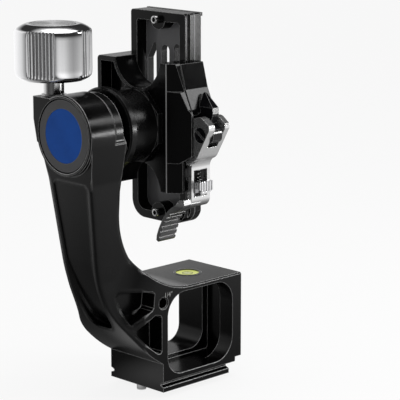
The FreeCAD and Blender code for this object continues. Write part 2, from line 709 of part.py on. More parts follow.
hub_body = fuse(
    turned("x", [
        (hub_x0, 0), (hub_x0, D.hub_ring_rad - 0.8), (hub_x0 + 0.8, D.hub_ring_rad),
        (ring_x1 - 0.8, D.hub_ring_rad), (ring_x1, D.hub_ring_rad - 0.8), (ring_x1, D.hub_rad),
        (back_x, D.hub_rad), (back_x, 0),
    ], z=axis_z),
    rod("x", race_in - 0.2, hub_x0 - clip_x0 + 1, clip_x0, 0, axis_z),
    slab("yz", octagon(D.hub_rad), back_x - D.flange_thick, back_x),
)
node("hub", cut(
    hub_body,
    rod("x", D.journal_rad, journal_x1 - clip_x0 + 5, clip_x0 - 5, 0, axis_z),
    rod("x", D.bolt_rad + 0.1, 12, journal_x1 - 2, 0, axis_z),
    *[rod("x", D.hub_screw_rad, hub_thread + 1, back_x - hub_thread, y, axis_z + z) for y, z in HUB_SCREWS]
))
bolt_seat = seat_x - 5.0
hex_rad = sized(2.9)
node("hub_screw", cut(
    fuse(
        rod("x", D.bolt_rad, bolt_seat - journal_x1 + 15, journal_x1 - 15, 0, axis_z),
        rod("x", D.bolt_head_rad - 0.2, 3.6, bolt_seat, 0, axis_z),
    ),
    slab("yz", [
        (hex_rad * math.cos(math.pi * i / 3), axis_z + hex_rad * math.sin(math.pi * i / 3)) for i in range(6)
    ], bolt_seat + 1.2, bolt_seat + 6),
))
screw_seat = seat_x - 4.0
node("hub_screws", group(*[
    cut(
        fuse(
            rod("x", D.hub_screw_rad, screw_seat - back_x + hub_thread, back_x - hub_thread, y, axis_z + z),
            rod("x", D.hub_head_rad - 0.1, 3.0, screw_seat, y, axis_z + z),
        ),
        rod("x", 1.3, 5, screw_seat + 1.2, y, axis_z + z),
    )
    for y, z in HUB_SCREWS
]))

# ---------------------------------------------------------------- clamp body

jaw_pin_x = -16.0
link_x0 = -D.link_x
link_x1 = -D.link_front_x
link_tail_x1 = link_x0 + D.link_tail_thick
link_tail_y = sized(-6.2)
link_half_z = sized(4.9)
horn_bend_z = sized(12.6)
horn_top_z = sized(19.0)


def jaw_profile(side, inner, outer, back):
    """Section of a jaw along Z: the groove for the plate's lip, the 45 degree flank and the tooth."""
    return [(x, y * side) for x, y in [
        (back, inner), (back, outer), (front_x, outer), (front_x, plate_half - 0.1),
        (tooth_x + 0.05, plate_half - 0.1), (tooth_x, tooth_half),
        (plate_x0 + D.lip_thick + 0.1, groove_half), (seat_x, groove_half), (seat_x, inner),
    ]]


def cheek():
    """The plate behind the moving jaw, with its slanted back and the central bulge beside the lever."""
    flat = slab("yz", around(0, axis_z, [
        (-12, D.clamp_half), (-23.7, D.clamp_half), (-24.1, D.clamp_half - 0.8), (-27.1, 18.7),
        (-27.1, 15.0), (-26.5, 14.0), (-26.5, -D.clamp_half), (-12, -D.clamp_half),
    ]), back_x, cheek_x)
    flat = common(flat, slab("xy", [
        (back_x, -10), (back_x, -D.cheek_edge_y), (cheek_x - 0.4, -27.2), (cheek_x, -27.2), (cheek_x, -10),
    ], clamp_z0 - 1, clamp_z1 + 1))
    bulge = slab("yz", around(0, axis_z, [
        (-12, 18), (-27.2, 18.0), (-31.1, 9.8), (-32.2, 9.0), (-32.8, 7.6), (-32.8, -12.4),
        (-26.5, -16.4), (-12, -17),
    ]), back_x, cheek_x)
    bulge = common(bulge, slab("xy", [
        (back_x, -10), (back_x, -D.cheek_edge_y), (cheek_x - 1.0, -32.9), (cheek_x, -32.9), (cheek_x, -10),
    ], clamp_z0, clamp_z1))
    return fuse(flat, bulge)


def bites(rad):
    """Rods in the place of the round bites in the top and bottom edges of the clamp."""
    reach = D.bite_apex + D.bite_rad
    return [rod("x", rad, 30, back_x - 8, 0, axis_z + side * reach) for side in (-1, 1)]


def recess():
    """The pocket sunk into the back, between the far edge, the two bites and the hub's flange."""
    far_y = D.clamp_far_y - D.recess_rim
    end = D.clamp_half - D.recess_rim
    seat = D.hub_rad + 1.2
    bevel = seat * math.tan(math.pi / 8)
    plan = slab("yz", around(0, axis_z, [
        (far_y, -end), (far_y, end), (4, end), (4, seat), (bevel, seat), (seat, bevel), (seat, -bevel),
        (bevel, -seat), (4, -seat), (4, -end),
    ]), back_x - 5, back_x + D.recess_deep)
    return cut(plan, *bites(D.bite_rad + D.bite_wall))


def make_clamp():
    corners = (0.4, D.clamp_corner, D.clamp_corner, 0.4)
    main = slab("yz", rounded(-D.slab_near_y, D.clamp_far_y, clamp_z0, clamp_z1, *corners), back_x, seat_x)
    jaw = slab("xy", jaw_profile(1, sized(17.0), D.clamp_far_y, seat_x - 1), clamp_z0, clamp_z1)
    jaw = common(jaw, slab("yz", rounded(10, D.clamp_far_y, clamp_z0, clamp_z1, *corners),
                           seat_x - 2, front_x))
    body = fuse(main, jaw, cheek())
    tools = bites(D.bite_rad) + [recess()]
    for side in (-1, 1):
        tools.append(rod("y", D.jaw_pin_rad, 10, jaw_pin_x, -D.slab_near_y - 2, axis_z + side * D.jaw_pin_z))
    tools.append(rod("x", D.bolt_rad + 0.1, 30, back_x - 2, 0, axis_z))
    tools.append(rod("x", D.bolt_head_rad, 20, bolt_seat, 0, axis_z))
    for y, z in HUB_SCREWS:
        tools.append(rod("x", D.hub_screw_rad + 0.1, 30, back_x - 2, y, axis_z + z))
        tools.append(rod("x", D.hub_head_rad, 20, screw_seat, y, axis_z + z))
    tools.append(block(link_x0 - 0.1, seat_x + 2, -D.slab_near_y - 2, link_tail_y + 0.2,
                       pivot_z - link_half_z - 0.1, pivot_z + link_half_z + 0.1))
    tools.append(rod("x", D.link_pin_rad, 8, link_x0 - 5, -D.link_pin_y, pivot_z))
    body = cut(body, *tools)
    back = back_x.number
    bite = D.bite_rad.number

    def bite_rim(edge):
        curve = edge.Curve
        round_one = isinstance(curve, Part.Circle) and abs(curve.Radius - bite) < 0.01
        return round_one and abs(edge.BoundBox.XMin - back) < 0.01 and edge.BoundBox.XLength < 0.01

    return edges("Chamfer", body, D.bite_wall / 3, bite_rim)


node("clamp_body", make_clamp())
link_pin_x0 = link_x0 - 4.0
node("link_pin", rod("x", D.link_pin_rad, 6.8, link_pin_x0, -D.link_pin_y, pivot_z))

# ---------------------------------------------------------------- moving jaw

spring_hole_rad = D.jaw_pin_rad + 1.2
pin_y0 = sized(-24.0)


def make_jaw():
    """The jaw beside the lever. A slot lets the link through, and a hollow clears the cam."""
    outer = sized(34.0)
    body = slab("xy", jaw_profile(-1, D.jaw_near_y, outer, -D.jaw_back_x), clamp_z0, clamp_z1)
    reach = cam_clear
    # where the hollow meets the slanted face above and the flat face below
    upper = (reach * 0.47, reach * 0.883)
    lower = (reach * 0.985, -reach * 0.17)
    face = slab("yz", around(pivot_y, pivot_z, [
        (30, D.clamp_half + D.pivot_drop), (12.7, D.clamp_half + D.pivot_drop - 0.4), (9.5, 20.7),
        (5.4, 11.6), upper + (-reach,), lower, (10.4, -8.6), (10.4, -12.6), (11.0, -14.2),
        (11.0, -D.clamp_half + D.pivot_drop), (30, -D.clamp_half + D.pivot_drop),
    ]), -D.jaw_back_x - 1, front_x + 1)
    body = common(body, face)
    slot_x0 = link_x0 - 0.6
    slot_x1 = link_x1 + 0.6
    slot_z0 = pivot_z - D.link_eye_rad - 1.0
    wide = slab("yz", around(pivot_y, pivot_z, [
        (16.5, -D.link_eye_rad - 1.0), (16.5, link_half_z + 1.4), (8.5, D.horn_low + 3.8),
        (2, D.horn_low + 3.8),
        (2, -D.link_eye_rad - 1.0),
    ]), slot_x0, slot_x1)
    upper_slot = slab("xz", around(0, pivot_z, [
        (-D.horn_x - 0.6, 0), (-D.horn_x - 0.6, horn_bend_z), (-D.horn_tip_x - 0.6, horn_top_z),
        (-D.horn_tip_x - 0.6, horn_top_z + 1.6), (slot_x1, horn_top_z + 1.6), (slot_x1, 0),
    ]), pivot_y + 2, pivot_y + 8.3)
    narrow = block(slot_x0, seat_x + 0.5, pivot_y + 16, -D.jaw_near_y + 1,
                   slot_z0, pivot_z + link_half_z + 1.4)
    tools = [wide, upper_slot, narrow]
    for sign in (-1, 1):
        z = axis_z + sign * D.jaw_pin_z
        tools.append(rod("y", D.jaw_pin_rad + D.fit, 12, jaw_pin_x, pin_y0 - 1.5, z))
        tools.append(rod("y", spring_hole_rad, 8, jaw_pin_x, -18.7, z))
    return cut(body, *tools)


node("moving_jaw", make_jaw())
node("jaw_guide_pins", group(*[
    rod("y", D.jaw_pin_rad, -6.0 - pin_y0, jaw_pin_x, pin_y0, axis_z + sign * D.jaw_pin_z)
    for sign in (-1, 1)
]))
node("jaw_springs", group(*[
    cut(
        rod("y", D.jaw_pin_rad + 0.9, 3.0, jaw_pin_x, -17.0, axis_z + sign * D.jaw_pin_z),
        rod("y", D.jaw_pin_rad + 0.2, 9, jaw_pin_x, -20.0, axis_z + sign * D.jaw_pin_z),
    )
    for sign in (-1, 1)
]))

# ---------------------------------------------------------------- pivot link and lever


def make_link():
    """Black link: its tail is pinned in the clamp, its eye carries the lever, its horn stands above."""
    tail_y = link_tail_y - pivot_y
    eye = D.link_eye_rad
    shape = [
        (tail_y, -link_half_z), (tail_y, link_half_z), (7.6, link_half_z), (6.8, 8.4), (6.8, horn_top_z),
        (5.5, horn_top_z - 0.2), (-2.3, horn_bend_z), (-2.5, 9.6), (-1.2, eye * 0.97),
        (-eye * 0.87, eye * 0.5, 9.0),
        (-eye * 0.87, -eye * 0.5, 9.0), (0.6, -eye),
    ]
    body = slab("yz", around(pivot_y, pivot_z, shape), link_x0, link_x1)
    relief = block(link_tail_x1, link_x1 + 1, -plate_half - 2.8, 0, pivot_z - 20, pivot_z + 20)
    beside_horn = slab("xz", around(0, pivot_z, [
        (link_x0 - 1, D.horn_low), (-D.horn_x, D.horn_low), (-D.horn_x, horn_bend_z),
        (-D.horn_tip_x, horn_top_z), (-D.horn_tip_x, horn_top_z + 5), (link_x0 - 1, horn_top_z + 5),
    ]), pivot_y - 10, pivot_y + 10)
    return cut(body, relief, beside_horn, rod("x", D.pivot_rad, 20, link_x0 - 5, pivot_y, pivot_z),
               rod("x", D.link_pin_rad, 20, link_x0 - 5, -D.link_pin_y, pivot_z))


node("pivot_link", make_link())
pin_x0 = lever_x0 + 0.4
head_x1 = lever_x0 + 2.0
slot_turn = math.radians(35)
SLOT_CORNERS = [
    (a * math.cos(slot_turn) - b * math.sin(slot_turn), a * math.sin(slot_turn) + b * math.cos(slot_turn))
    for a, b in ((-6, -0.5), (6, -0.5), (6, 0.5), (-6, 0.5))
]
node("lever_pin", cut(
    fuse(
        rod("x", D.pivot_rad, lever_x1 - pin_x0 - 0.4, pin_x0, pivot_y, pivot_z),
        rod("x", D.pivot_head_rad, head_x1 - pin_x0, pin_x0, pivot_y, pivot_z),
    ),
    slab("yz", around(pivot_y, pivot_z, SLOT_CORNERS), pin_x0 - 1, pin_x0 + 0.8),
))

slot_x0 = -D.slot_x
slot_x1 = -D.slot_front_x
slot_z1 = pivot_z - 18.3
slot_z0 = pivot_z - 31.3


def lever_outline():
    """The lever seen along X, from its cam down to the foot of the strip."""
    cam = D.cam_rad
    out = D.lever_face
    inside = out + D.lever_thick
    return [
        (cam * 0.5, cam * 0.8), (1.0, cam * 0.9), (-0.6, cam * 0.9), (-2.2, cam * 0.85), (-6.0, 5.2),
        (-6.3, 4.4), (-6.2, 2.8), (1.4, -10.5, 6.0), (4.8, -13.3, -6.0), (out, -16.8), (out, -32.6, 4.5),
        (out + 4.5, -37.1), (out + 5.6, -36.2), (out + 5.6, -35.8, -2.4), (inside, -33.0),
        (inside, -14.0), (cam * 0.985, -cam * 0.17, cam),
    ]


def tail_outline():
    """The thumb tail, bent inwards under the lens plate's edge."""
    return [
        (7.2, -32.2), (7.0, -34.6), (9.9, -37.0), (15.3, -39.4, -20.0), (22.3, -48.6, -34.0), (24.3, -54.4),
        (25.1, -55.3), (26.4, -54.6), (26.2, -52.4, 36.0), (20.3, -41.2, 18.0), (13.3, -35.6), (10.0, -32.2),
    ]


def thumb_grooves():
    """Cross grooves on the thumb side of the tail, spread along its outer bend."""
    bend = tail_outline()
    spots = []
    for start, end, total in ((3, 4, 4), (4, 5, 2)):
        a, b, rad = bend[start][:2], bend[end][:2], bend[start][2]
        middle = arc_centre(a, b, rad)
        turns = [math.atan2(p[1] - middle.y, p[0] - middle.x) for p in (a, b)]
        for i in range(total):
            turn = turns[0] + (turns[1] - turns[0]) * (i + 0.5) / total
            spots.append((middle.x + abs(rad) * math.cos(turn), middle.y + abs(rad) * math.sin(turn)))
    return [rod("x", 0.7, 30, -D.tail_x - 5, pivot_y + y, pivot_z + z) for y, z in spots]


def make_lever():
    strip = slab("yz", around(pivot_y, pivot_z, lever_outline()), lever_x0, lever_x1)
    strip = cut(strip, block(lever_x0 - 1, -D.strip_x, pivot_y, pivot_y + 30, pivot_z - 45, pivot_z - 15.5))
    tail = slab("yz", around(pivot_y, pivot_z, tail_outline()), -D.tail_x, -D.tail_front_x)
    web = pivot_z - D.fork_web
    return cut(
        fuse(strip, tail),
        block(lever_x0 + D.ear_thick, lever_x1 - D.ear_front_thick, pivot_y - 12, pivot_y + 12,
              web, pivot_z + 20),
        rod("x", D.pivot_rad + D.fit, 30, lever_x0 - 5, pivot_y, pivot_z),
        rod("x", D.pivot_head_rad + 0.1, 2.3 + 5, lever_x0 - 5, pivot_y, pivot_z),
        block(slot_x0, slot_x1, strip_out - 3, strip_in + 3, slot_z0, slot_z1),
        *thumb_grooves()
    )


node("lever", make_lever())

# ---------------------------------------------------------------- safety button in the lever

button_z0 = pivot_z - 29.8
button_z1 = button_z0 + 5.9
button_y1 = strip_out - D.gap
button_y0 = button_y1 - 2.8


def make_button():
    x0 = -D.button_x
    x1 = -D.button_front_x
    face = slab("xz", [
        (x0, button_z0 + 2.4), (x0 + 2.0, button_z0), (x1 - 2.4, button_z0),
        (x1, button_z0 + 1.6), (x1, button_z1), (x0, button_z1),
    ], button_y0, button_y1)
    stem = block(slot_x0 + D.gap, slot_x1 - D.gap, button_y1 - 0.5, strip_in - D.gap,
                 button_z0 + 0.6, button_z1 - 0.3)
    step = (x1 - x0) / 5.2
    grooves = []
    for i in range(5):
        middle = x0 + step * (i + 0.6)
        grooves.append(block(middle - 0.35, middle + 0.35, button_y0 - 1, button_y0 + 0.9,
                             button_z0 + 1.2, button_z1 + 1))
    return cut(fuse(face, stem), *grooves)


node("lock_button", make_button())
spring_x = (slot_x0 + slot_x1) / 2
spring_y = (strip_out + strip_in) / 2
node("lock_spring", cut(
    rod("z", 1.2, slot_z1 - button_z1 + 0.3, spring_x, spring_y, button_z1 - 0.3),
    rod("z", 0.7, 20, spring_x, spring_y, button_z1 - 5),
))

# ---------------------------------------------------------------- lens plate

web_x0 = plate_x1 - D.plate_web
STOP_Z = [plate_z1 - 3.8, plate_z0 + 2.9 + 1.4]


def plate_section():
    """Section of the plate along Z: dovetail lips at the back, flat sides in front."""
    half = plate_half
    waist = half - D.flank
    right = [
        (plate_x0, half), (plate_x0 + D.lip_thick, half), (plate_x0 + D.lip_thick + D.flank, waist),
        (plate_x0 + D.lip_thick + D.flank + D.neck_deep, waist),
        (plate_x0 + D.lip_thick + D.flank + D.neck_deep, D.plate_side), (plate_x1, D.plate_side),
    ]
    return right + [(x, -y) for x, y in reversed(right)]


def make_plate():
    body = common(
        slab("xy", plate_section(), plate_z0, plate_z1),
        slab("yz", rounded(-plate_half, plate_half, plate_z0, plate_z1, 9.0, 9.0, 1.6, 1.6),
             plate_x0 - 1, plate_x1 + 1),
    )
    lip = block(plate_x1 - 0.5, plate_x1 + 1.0, -D.plate_side, D.plate_side, plate_z1 - 1.6, plate_z1 + 0.2)
    rim = plate_half - D.plate_wall
    pocket = slab("yz", rounded(-rim, rim, plate_z0 + D.plate_wall, plate_z1 - D.plate_wall - 0.5,
                                5.0, 5.0, 1.5, 1.5), plate_x0 - 1, web_x0)
    body = cut(fuse(body, lip), pocket)
    bosses = [
        common(rod("x", D.stop_boss_rad, web_x0 + 1 - plate_x0, plate_x0, 0, z),
               block(plate_x0 - 1, plate_x1, -12, 12, plate_z0, plate_z1))
        for z in STOP_Z
    ]
    body = fuse(body, *bosses)
    tools = [rod("x", D.stop_shank_rad, 8, plate_x0 - 1, 0, z) for z in STOP_Z]
    low = plate_z0 + 27.0
    for mid, wide, down in ((1.9, 5.8, 17.0), (-6.4, 4.4, 16.0)):
        half = wide / 2
        tools.append(slab("yz", rounded(mid - half, mid + half, low, plate_z1 - down, half - 0.01),
                          web_x0 - 1, plate_x1 + 3))
    # the third slot narrows towards its top
    near, far, top = 8.1, 14.4, plate_z1 - 16.6
    tools.append(slab("yz", [
        (near, low), (far, low), (far, top - 7.8), (near + 2.0, top), (near + 0.8, top + 0.4),
        (near, top - 0.6),
    ], web_x0 - 1, plate_x1 + 3))
    return cut(body, *tools)


node("lens_plate", make_plate())
node("plate_stop_screws", group(*[
    cut(
        fuse(
            rod("x", D.stop_rad, D.stop_proud, plate_x0 - D.stop_proud, 0, z),
            rod("x", D.stop_shank_rad, 6.5, plate_x0 - 0.5, 0, z),
        ),
        rod("x", 0.9, 1.8, plate_x0 - D.stop_proud - 0.5, 0, z),
    )
    for z in STOP_Z
]))

# ---------------------------------------------------------------- check and write

doc.recompute()
for thing in doc.Objects:
    if "Invalid" in thing.State or "Error" in thing.State:
        raise RuntimeError("%s (%s) failed: %s" % (thing.Name, thing.Label, thing.State))
for made in NODES:
    shape = made.Shape
    if shape.isNull() or not shape.isValid() or not shape.Solids:
        raise RuntimeError("%s has no valid solid" % made.Label)

os.makedirs("parts", exist_ok=True)
for made in NODES:
    made.Shape.exportStep("parts/%s.step" % made.Label)
    print("%-20s solids %2d  volume %10.1f" % (made.Label, len(made.Shape.Solids), made.Shape.Volume))
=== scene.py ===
# %% [markdown]
# # A gimbal tripod head in black anodised aluminium
#
# The real object is a swan-neck arm that stands on a dovetail foot. At its top a barrel holds a
# ball bearing, and a lever clamp with a long lens plate turns on that bearing.
# The CAD model already has every solid in its right place, so the machined pieces stay as they are
# and only get a finish. Pieces that need finer shapes than CAD gives are made here.

# %% Load the frame
import math

import bmesh
import bpy
from mathutils import Matrix, Vector


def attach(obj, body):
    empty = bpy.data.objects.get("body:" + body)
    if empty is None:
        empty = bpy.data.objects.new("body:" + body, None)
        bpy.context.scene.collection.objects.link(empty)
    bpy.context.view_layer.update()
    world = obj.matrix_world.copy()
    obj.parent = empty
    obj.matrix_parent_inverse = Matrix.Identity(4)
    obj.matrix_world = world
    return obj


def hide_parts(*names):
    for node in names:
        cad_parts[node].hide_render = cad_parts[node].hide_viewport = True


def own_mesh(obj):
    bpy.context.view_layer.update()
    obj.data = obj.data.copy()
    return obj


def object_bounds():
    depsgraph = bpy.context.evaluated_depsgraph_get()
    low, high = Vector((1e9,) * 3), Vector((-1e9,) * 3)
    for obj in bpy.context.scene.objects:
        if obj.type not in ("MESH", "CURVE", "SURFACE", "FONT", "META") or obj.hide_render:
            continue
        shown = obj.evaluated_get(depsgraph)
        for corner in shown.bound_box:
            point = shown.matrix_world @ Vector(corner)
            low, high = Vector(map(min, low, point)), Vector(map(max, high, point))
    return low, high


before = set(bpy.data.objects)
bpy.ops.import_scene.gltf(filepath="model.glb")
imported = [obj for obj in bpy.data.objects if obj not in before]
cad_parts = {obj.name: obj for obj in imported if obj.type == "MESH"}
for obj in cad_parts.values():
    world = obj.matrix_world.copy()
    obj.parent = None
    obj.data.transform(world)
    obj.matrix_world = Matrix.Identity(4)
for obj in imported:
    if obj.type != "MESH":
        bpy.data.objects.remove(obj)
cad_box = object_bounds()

MM = 0.001
print("CAD box", [[round(v, 4) for v in corner] for corner in cad_box])

# %% [markdown]
# ## The camera
# A catalogue picture of such a piece is taken with a long lens from about a metre away, so that
# parallel edges stay nearly parallel. The camera looks at the corner between the medallion side and
# the lever side, from a little above. It could be placed by its own coordinates, but one target
# point, two angles and a distance are easier to read and to change.

# %% Set up the camera
CAMERA_TARGET = Vector((16.96, 0.0, 87.15)) * MM
CAMERA_AZIMUTH = math.radians(-44.98)
CAMERA_ELEVATION = math.radians(12.29)
CAMERA_DISTANCE = 929.25 * MM

back = Vector((
    math.sin(CAMERA_AZIMUTH) * math.cos(CAMERA_ELEVATION),
    -math.cos(CAMERA_AZIMUTH) * math.cos(CAMERA_ELEVATION),
    math.sin(CAMERA_ELEVATION),
))
lens = bpy.data.cameras.new("catalogue_camera")
lens.sensor_width = 36.0
lens.lens = 165.6
camera = bpy.data.objects.new("catalogue_camera", lens)
camera.location = CAMERA_TARGET + back * CAMERA_DISTANCE
camera.rotation_euler = back.to_track_quat("Z", "Y").to_euler()
bpy.context.scene.collection.objects.link(camera)
bpy.context.scene.camera = camera
bpy.context.scene.view_settings.view_transform = "Standard"
print("camera at", [round(v, 3) for v in camera.location])

# %% [markdown]
# ## A small kit for finishes
# Every finish starts from the same few ideas, so they are written once.
# A real machined edge is never perfectly sharp: a bevel node rounds the shading at edges and lets
# them catch the light. A blasted or brushed surface has fine grain: a noise node drives a bump and
# a change of roughness. Coordinates are the object's own, so the grain rides with the piece.

# %% Node helpers
class Finish:
    """A material with a Principled shader, and short ways to add nodes to it."""

    def __init__(self, name, color, metallic, roughness, **sockets):
        self.material = bpy.data.materials.new(name)
        self.material.use_nodes = True
        self.tree = self.material.node_tree
        self.shader = self.tree.nodes["Principled BSDF"]
        self.shader.inputs["Base Color"].default_value = (*color, 1.0)
        self.shader.inputs["Metallic"].default_value = metallic
        self.shader.inputs["Roughness"].default_value = roughness
        for socket, value in sockets.items():
            self.shader.inputs[socket.replace("_", " ")].default_value = value

    def node(self, kind, inputs=(), **settings):
        made = self.tree.nodes.new(kind)
        for key, value in settings.items():
            setattr(made, key, value)
        for key, value in dict(inputs).items():
            self.feed(made.inputs[key], value)
        return made

    def feed(self, socket, value):
        """Set a socket to a number or colour, or link an output to it."""
        if isinstance(value, bpy.types.NodeSocket):
            self.tree.links.new(value, socket)
        else:
            socket.default_value = value

    def place(self):
        """The object's own coordinates, in metres."""
        return self.node("ShaderNodeTexCoord").outputs["Object"]

    def stretched(self, stretch):
        """Coordinates scaled by three factors, for grain that runs one way."""
        return self.vector_math("MULTIPLY", self.place(), stretch)[0]

    def noise(self, scale, detail=2.0, where=None):
        return self.node("ShaderNodeTexNoise", {
            "Vector": where or self.place(), "Scale": scale, "Detail": detail, "Roughness": 0.6,
        }).outputs["Fac"]

    def span(self, value, low, high, new_low, new_high):
        """Map a value from one range to another."""
        return self.node("ShaderNodeMapRange", {
            "Value": value, "From Min": low, "From Max": high, "To Min": new_low, "To Max": new_high,
        }).outputs["Result"]

    def math(self, operation, a, b=0.0):
        return self.node("ShaderNodeMath", {0: a, 1: b}, operation=operation).outputs[0]

    def vector_math(self, operation, *inputs):
        """The outputs of a sum with vectors: 0 is a vector, and "Value" is a number."""
        return self.node("ShaderNodeVectorMath", enumerate(inputs), operation=operation).outputs

    def blend(self, amount, a, b):
        """Mix two colours."""
        mixed = self.node("ShaderNodeMix", {"Factor": amount}, data_type="RGBA")
        for socket, value in zip([s for s in mixed.inputs if s.type == "RGBA"], (a, b)):
            self.feed(socket, value if isinstance(value, bpy.types.NodeSocket) else (*value, 1.0))
        return [s for s in mixed.outputs if s.type == "RGBA"][0]

    def mottled(self, scale, a, b, clip=0.3):
        """Two colours mixed in soft patches, with this much of the noise clipped at either end."""
        return self.blend(self.span(self.noise(scale), clip, 1.0 - clip, 0.0, 1.0), a, b)

    def round_edges(self, radius):
        self.rounded = self.node("ShaderNodeBevel", {"Radius": radius}, samples=6).outputs["Normal"]
        return self.rounded

    def along(self, axis):
        """The object's own X, Y or Z, in metres."""
        return self.node("ShaderNodeSeparateXYZ", {0: self.place()}).outputs[axis]

    def edge_amount(self, shallowest=0.995, sharpest=0.94):
        """How far the rounded normal leaves the true one: nought on a flat and one on an edge.
        Both limits are cosines of the angle between the two."""
        true_normal = self.node("ShaderNodeNewGeometry").outputs["Normal"]
        facing = self.vector_math("DOT_PRODUCT", self.rounded, true_normal)["Value"]
        return self.span(facing, shallowest, sharpest, 0.0, 1.0)

    def bump(self, height, depth, strength=1.0):
        """Turn a height between 0 and 1 into a bump of a depth in metres."""
        made = self.node("ShaderNodeBump", {
            "Height": height, "Distance": depth, "Strength": strength, "Normal": self.rounded,
        })
        return made.outputs["Normal"]

    def set(self, **sockets):
        for socket, value in sockets.items():
            self.feed(self.shader.inputs[socket.replace("_", " ")], value)


def dress(finish, *names):
    """Give CAD nodes a finish through their own material slots."""
    for name in names:
        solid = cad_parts[name]
        if not solid.material_slots:
            solid.data.materials.append(finish.material)
        for slot in solid.material_slots:
            slot.material = finish.material
    print(finish.material.name, "on", ", ".join(names))


print("the frame has", len(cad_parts), "nodes to dress")

# %% [markdown]
# ## Black anodised aluminium
# The arm, the hub and the clamp are milled from aluminium, blasted with fine glass beads and then
# dyed black in the anodising bath. The dyed skin is a hard clear oxide over a dark ground, so it is
# shaded as a dark, half-glossy surface and not as bare metal. The bead blasting gives a grain of
# about a quarter of a millimetre.
# Edges are where such a skin differs from piece to piece. Handling wears it off a broken edge, and a
# thin pale line is painted there that is partly this wear and partly a painted highlight, the light
# that a broken edge catches. Edges that face up get a brighter painted highlight, as if more light
# fell on them. The swan neck's long corners are well rounded and get no such line. One function
# makes all of these, because each piece is the same skin with another amount of wear and painted
# highlight.

# %% Make an anodised finish
# the paler skin of painted light, which lightens the shaded floor of the plate's pocket
PAINTED_LIGHT_SKIN = (0.17, 0.17, 0.175)
BROKEN_EDGE = 0.35 * MM
NECK_CORNER = 3.0 * MM


def anodised(name, tone, roughness, grain_depth, wear_and_highlight_tone, gloss=0.5, bevel=BROKEN_EDGE,
             edges=(0.995, 0.94), top_highlight_tone=None, soft=None, painted_light=None, painted_highlight=None):
    """A black skin. Edges get wear_and_highlight_tone, a line that is partly wear and partly a
    painted highlight, or top_highlight_tone, a brighter painted highlight, where they face up.
    soft, painted_light and painted_highlight are functions of the finish. They give nought over most
    of a piece, and up to one where corners are well rounded, where painted light makes the skin
    paler, or where an edge gets a stronger painted highlight."""
    made = Finish(name, (tone, tone, tone * 1.06), 0.0, roughness, Specular_IOR_Level=gloss)
    rounding = soft(made) if soft else None
    made.round_edges(made.span(rounding, 0.0, 1.0, bevel, NECK_CORNER) if soft else bevel)
    grain = made.noise(4200.0, 3.0)
    cloud = made.noise(38.0, 2.0)
    streaks = made.noise(900.0, 1.0)
    rough = made.span(cloud, 0.3, 0.7, roughness - 0.04, roughness + 0.05)
    rough = made.math("ADD", rough, made.span(streaks, 0.35, 0.65, -0.02, 0.02))
    darker, lighter = (tone * 0.85,) * 3, (tone * 1.15, tone * 1.15, tone * 1.25)
    tint = made.blend(made.span(cloud, 0.3, 0.7, 0.0, 1.0), darker, lighter)
    # painted light: where the mask gives one the skin is painted paler, in place of light on a
    # shaded floor
    if painted_light:
        tint = made.blend(painted_light(made), tint, PAINTED_LIGHT_SKIN)
    # wear and painted highlight: a pale line along each sharp edge, broken up by the streaks, partly
    # worn skin and partly a painted highlight
    wear_and_highlight = made.math("MULTIPLY", made.edge_amount(*edges), made.span(streaks, 0.3, 0.7, 0.55, 1.0))
    # the swan neck's well rounded corners get no such line
    if soft:
        wear_and_highlight = made.math("MULTIPLY", wear_and_highlight, made.span(rounding, 0.0, 1.0, 1.0, 0.0))
    # painted highlight: one chosen edge is painted brighter than the wear alone
    if painted_highlight:
        wear_and_highlight = made.math("MAXIMUM", wear_and_highlight, painted_highlight(made))
    worn_and_lit_colour = (wear_and_highlight_tone,) * 3
    # edges that face up get a brighter painted highlight, as if more light fell on them
    if top_highlight_tone:
        upward = made.node("ShaderNodeSeparateXYZ", {0: made.rounded}).outputs["Z"]
        worn_and_lit_colour = made.blend(made.span(upward, 0.15, 0.5, 0.0, 1.0), worn_and_lit_colour, (top_highlight_tone,) * 3)
    skin_with_wear_and_highlights = made.blend(wear_and_highlight, tint, worn_and_lit_colour)
    made.set(Base_Color=skin_with_wear_and_highlights, Roughness=rough, Normal=made.bump(grain, grain_depth))
    print(name, "has", len(made.tree.nodes), "nodes")
    return made


# %% [markdown]
# ## Where the black skin differs
# Three places need more than one amount of edge line, painted light or painted highlight on a
# piece: the swan neck's rounded corners, the painted light on the floor of the plate's pocket, and
# the painted highlight on a corner of the clamp's slab. Each could be an image mask, but a mask
# worked out from the piece's own coordinates needs no image and stays sharp close up.

# %% Dress the black pieces
def along_neck(made):
    """The swan neck, whose long corners are well rounded. All other edges are only broken."""
    height = made.along("Z")
    over_base = made.span(height, 18 * MM, 26 * MM, 0.0, 1.0)
    outside = made.span(made.along("X"), -40 * MM, -36 * MM, 1.0, 0.0)
    under_barrel = made.span(height, 106 * MM, 114 * MM, 1.0, 0.0)
    return made.math("MULTIPLY", made.math("MULTIPLY", over_base, outside), under_barrel)


def painted_light_on_pocket_floor(made):
    """The floor of the long pocket in the lens plate, at x -5.2 mm, painted paler as painted light.
    """
    depth = made.along("X")
    behind = made.span(depth, -5.6 * MM, -5.4 * MM, 0.0, 1.0)
    before = made.span(depth, -5.0 * MM, -4.8 * MM, 1.0, 0.0)
    return made.math("MULTIPLY", behind, before)


def painted_slab_highlight(made):
    """The long upright corner of the clamp's slab, at x -26 mm and y -20.2 mm, given a painted
    highlight.
    """
    off_x = made.math("ABSOLUTE", made.math("ADD", made.along("X"), 26.0 * MM))
    off_y = made.math("ABSOLUTE", made.math("ADD", made.along("Y"), 20.2 * MM))
    return made.span(made.math("ADD", off_x, off_y), 0.2 * MM, 0.5 * MM, 0.75, 0.0)


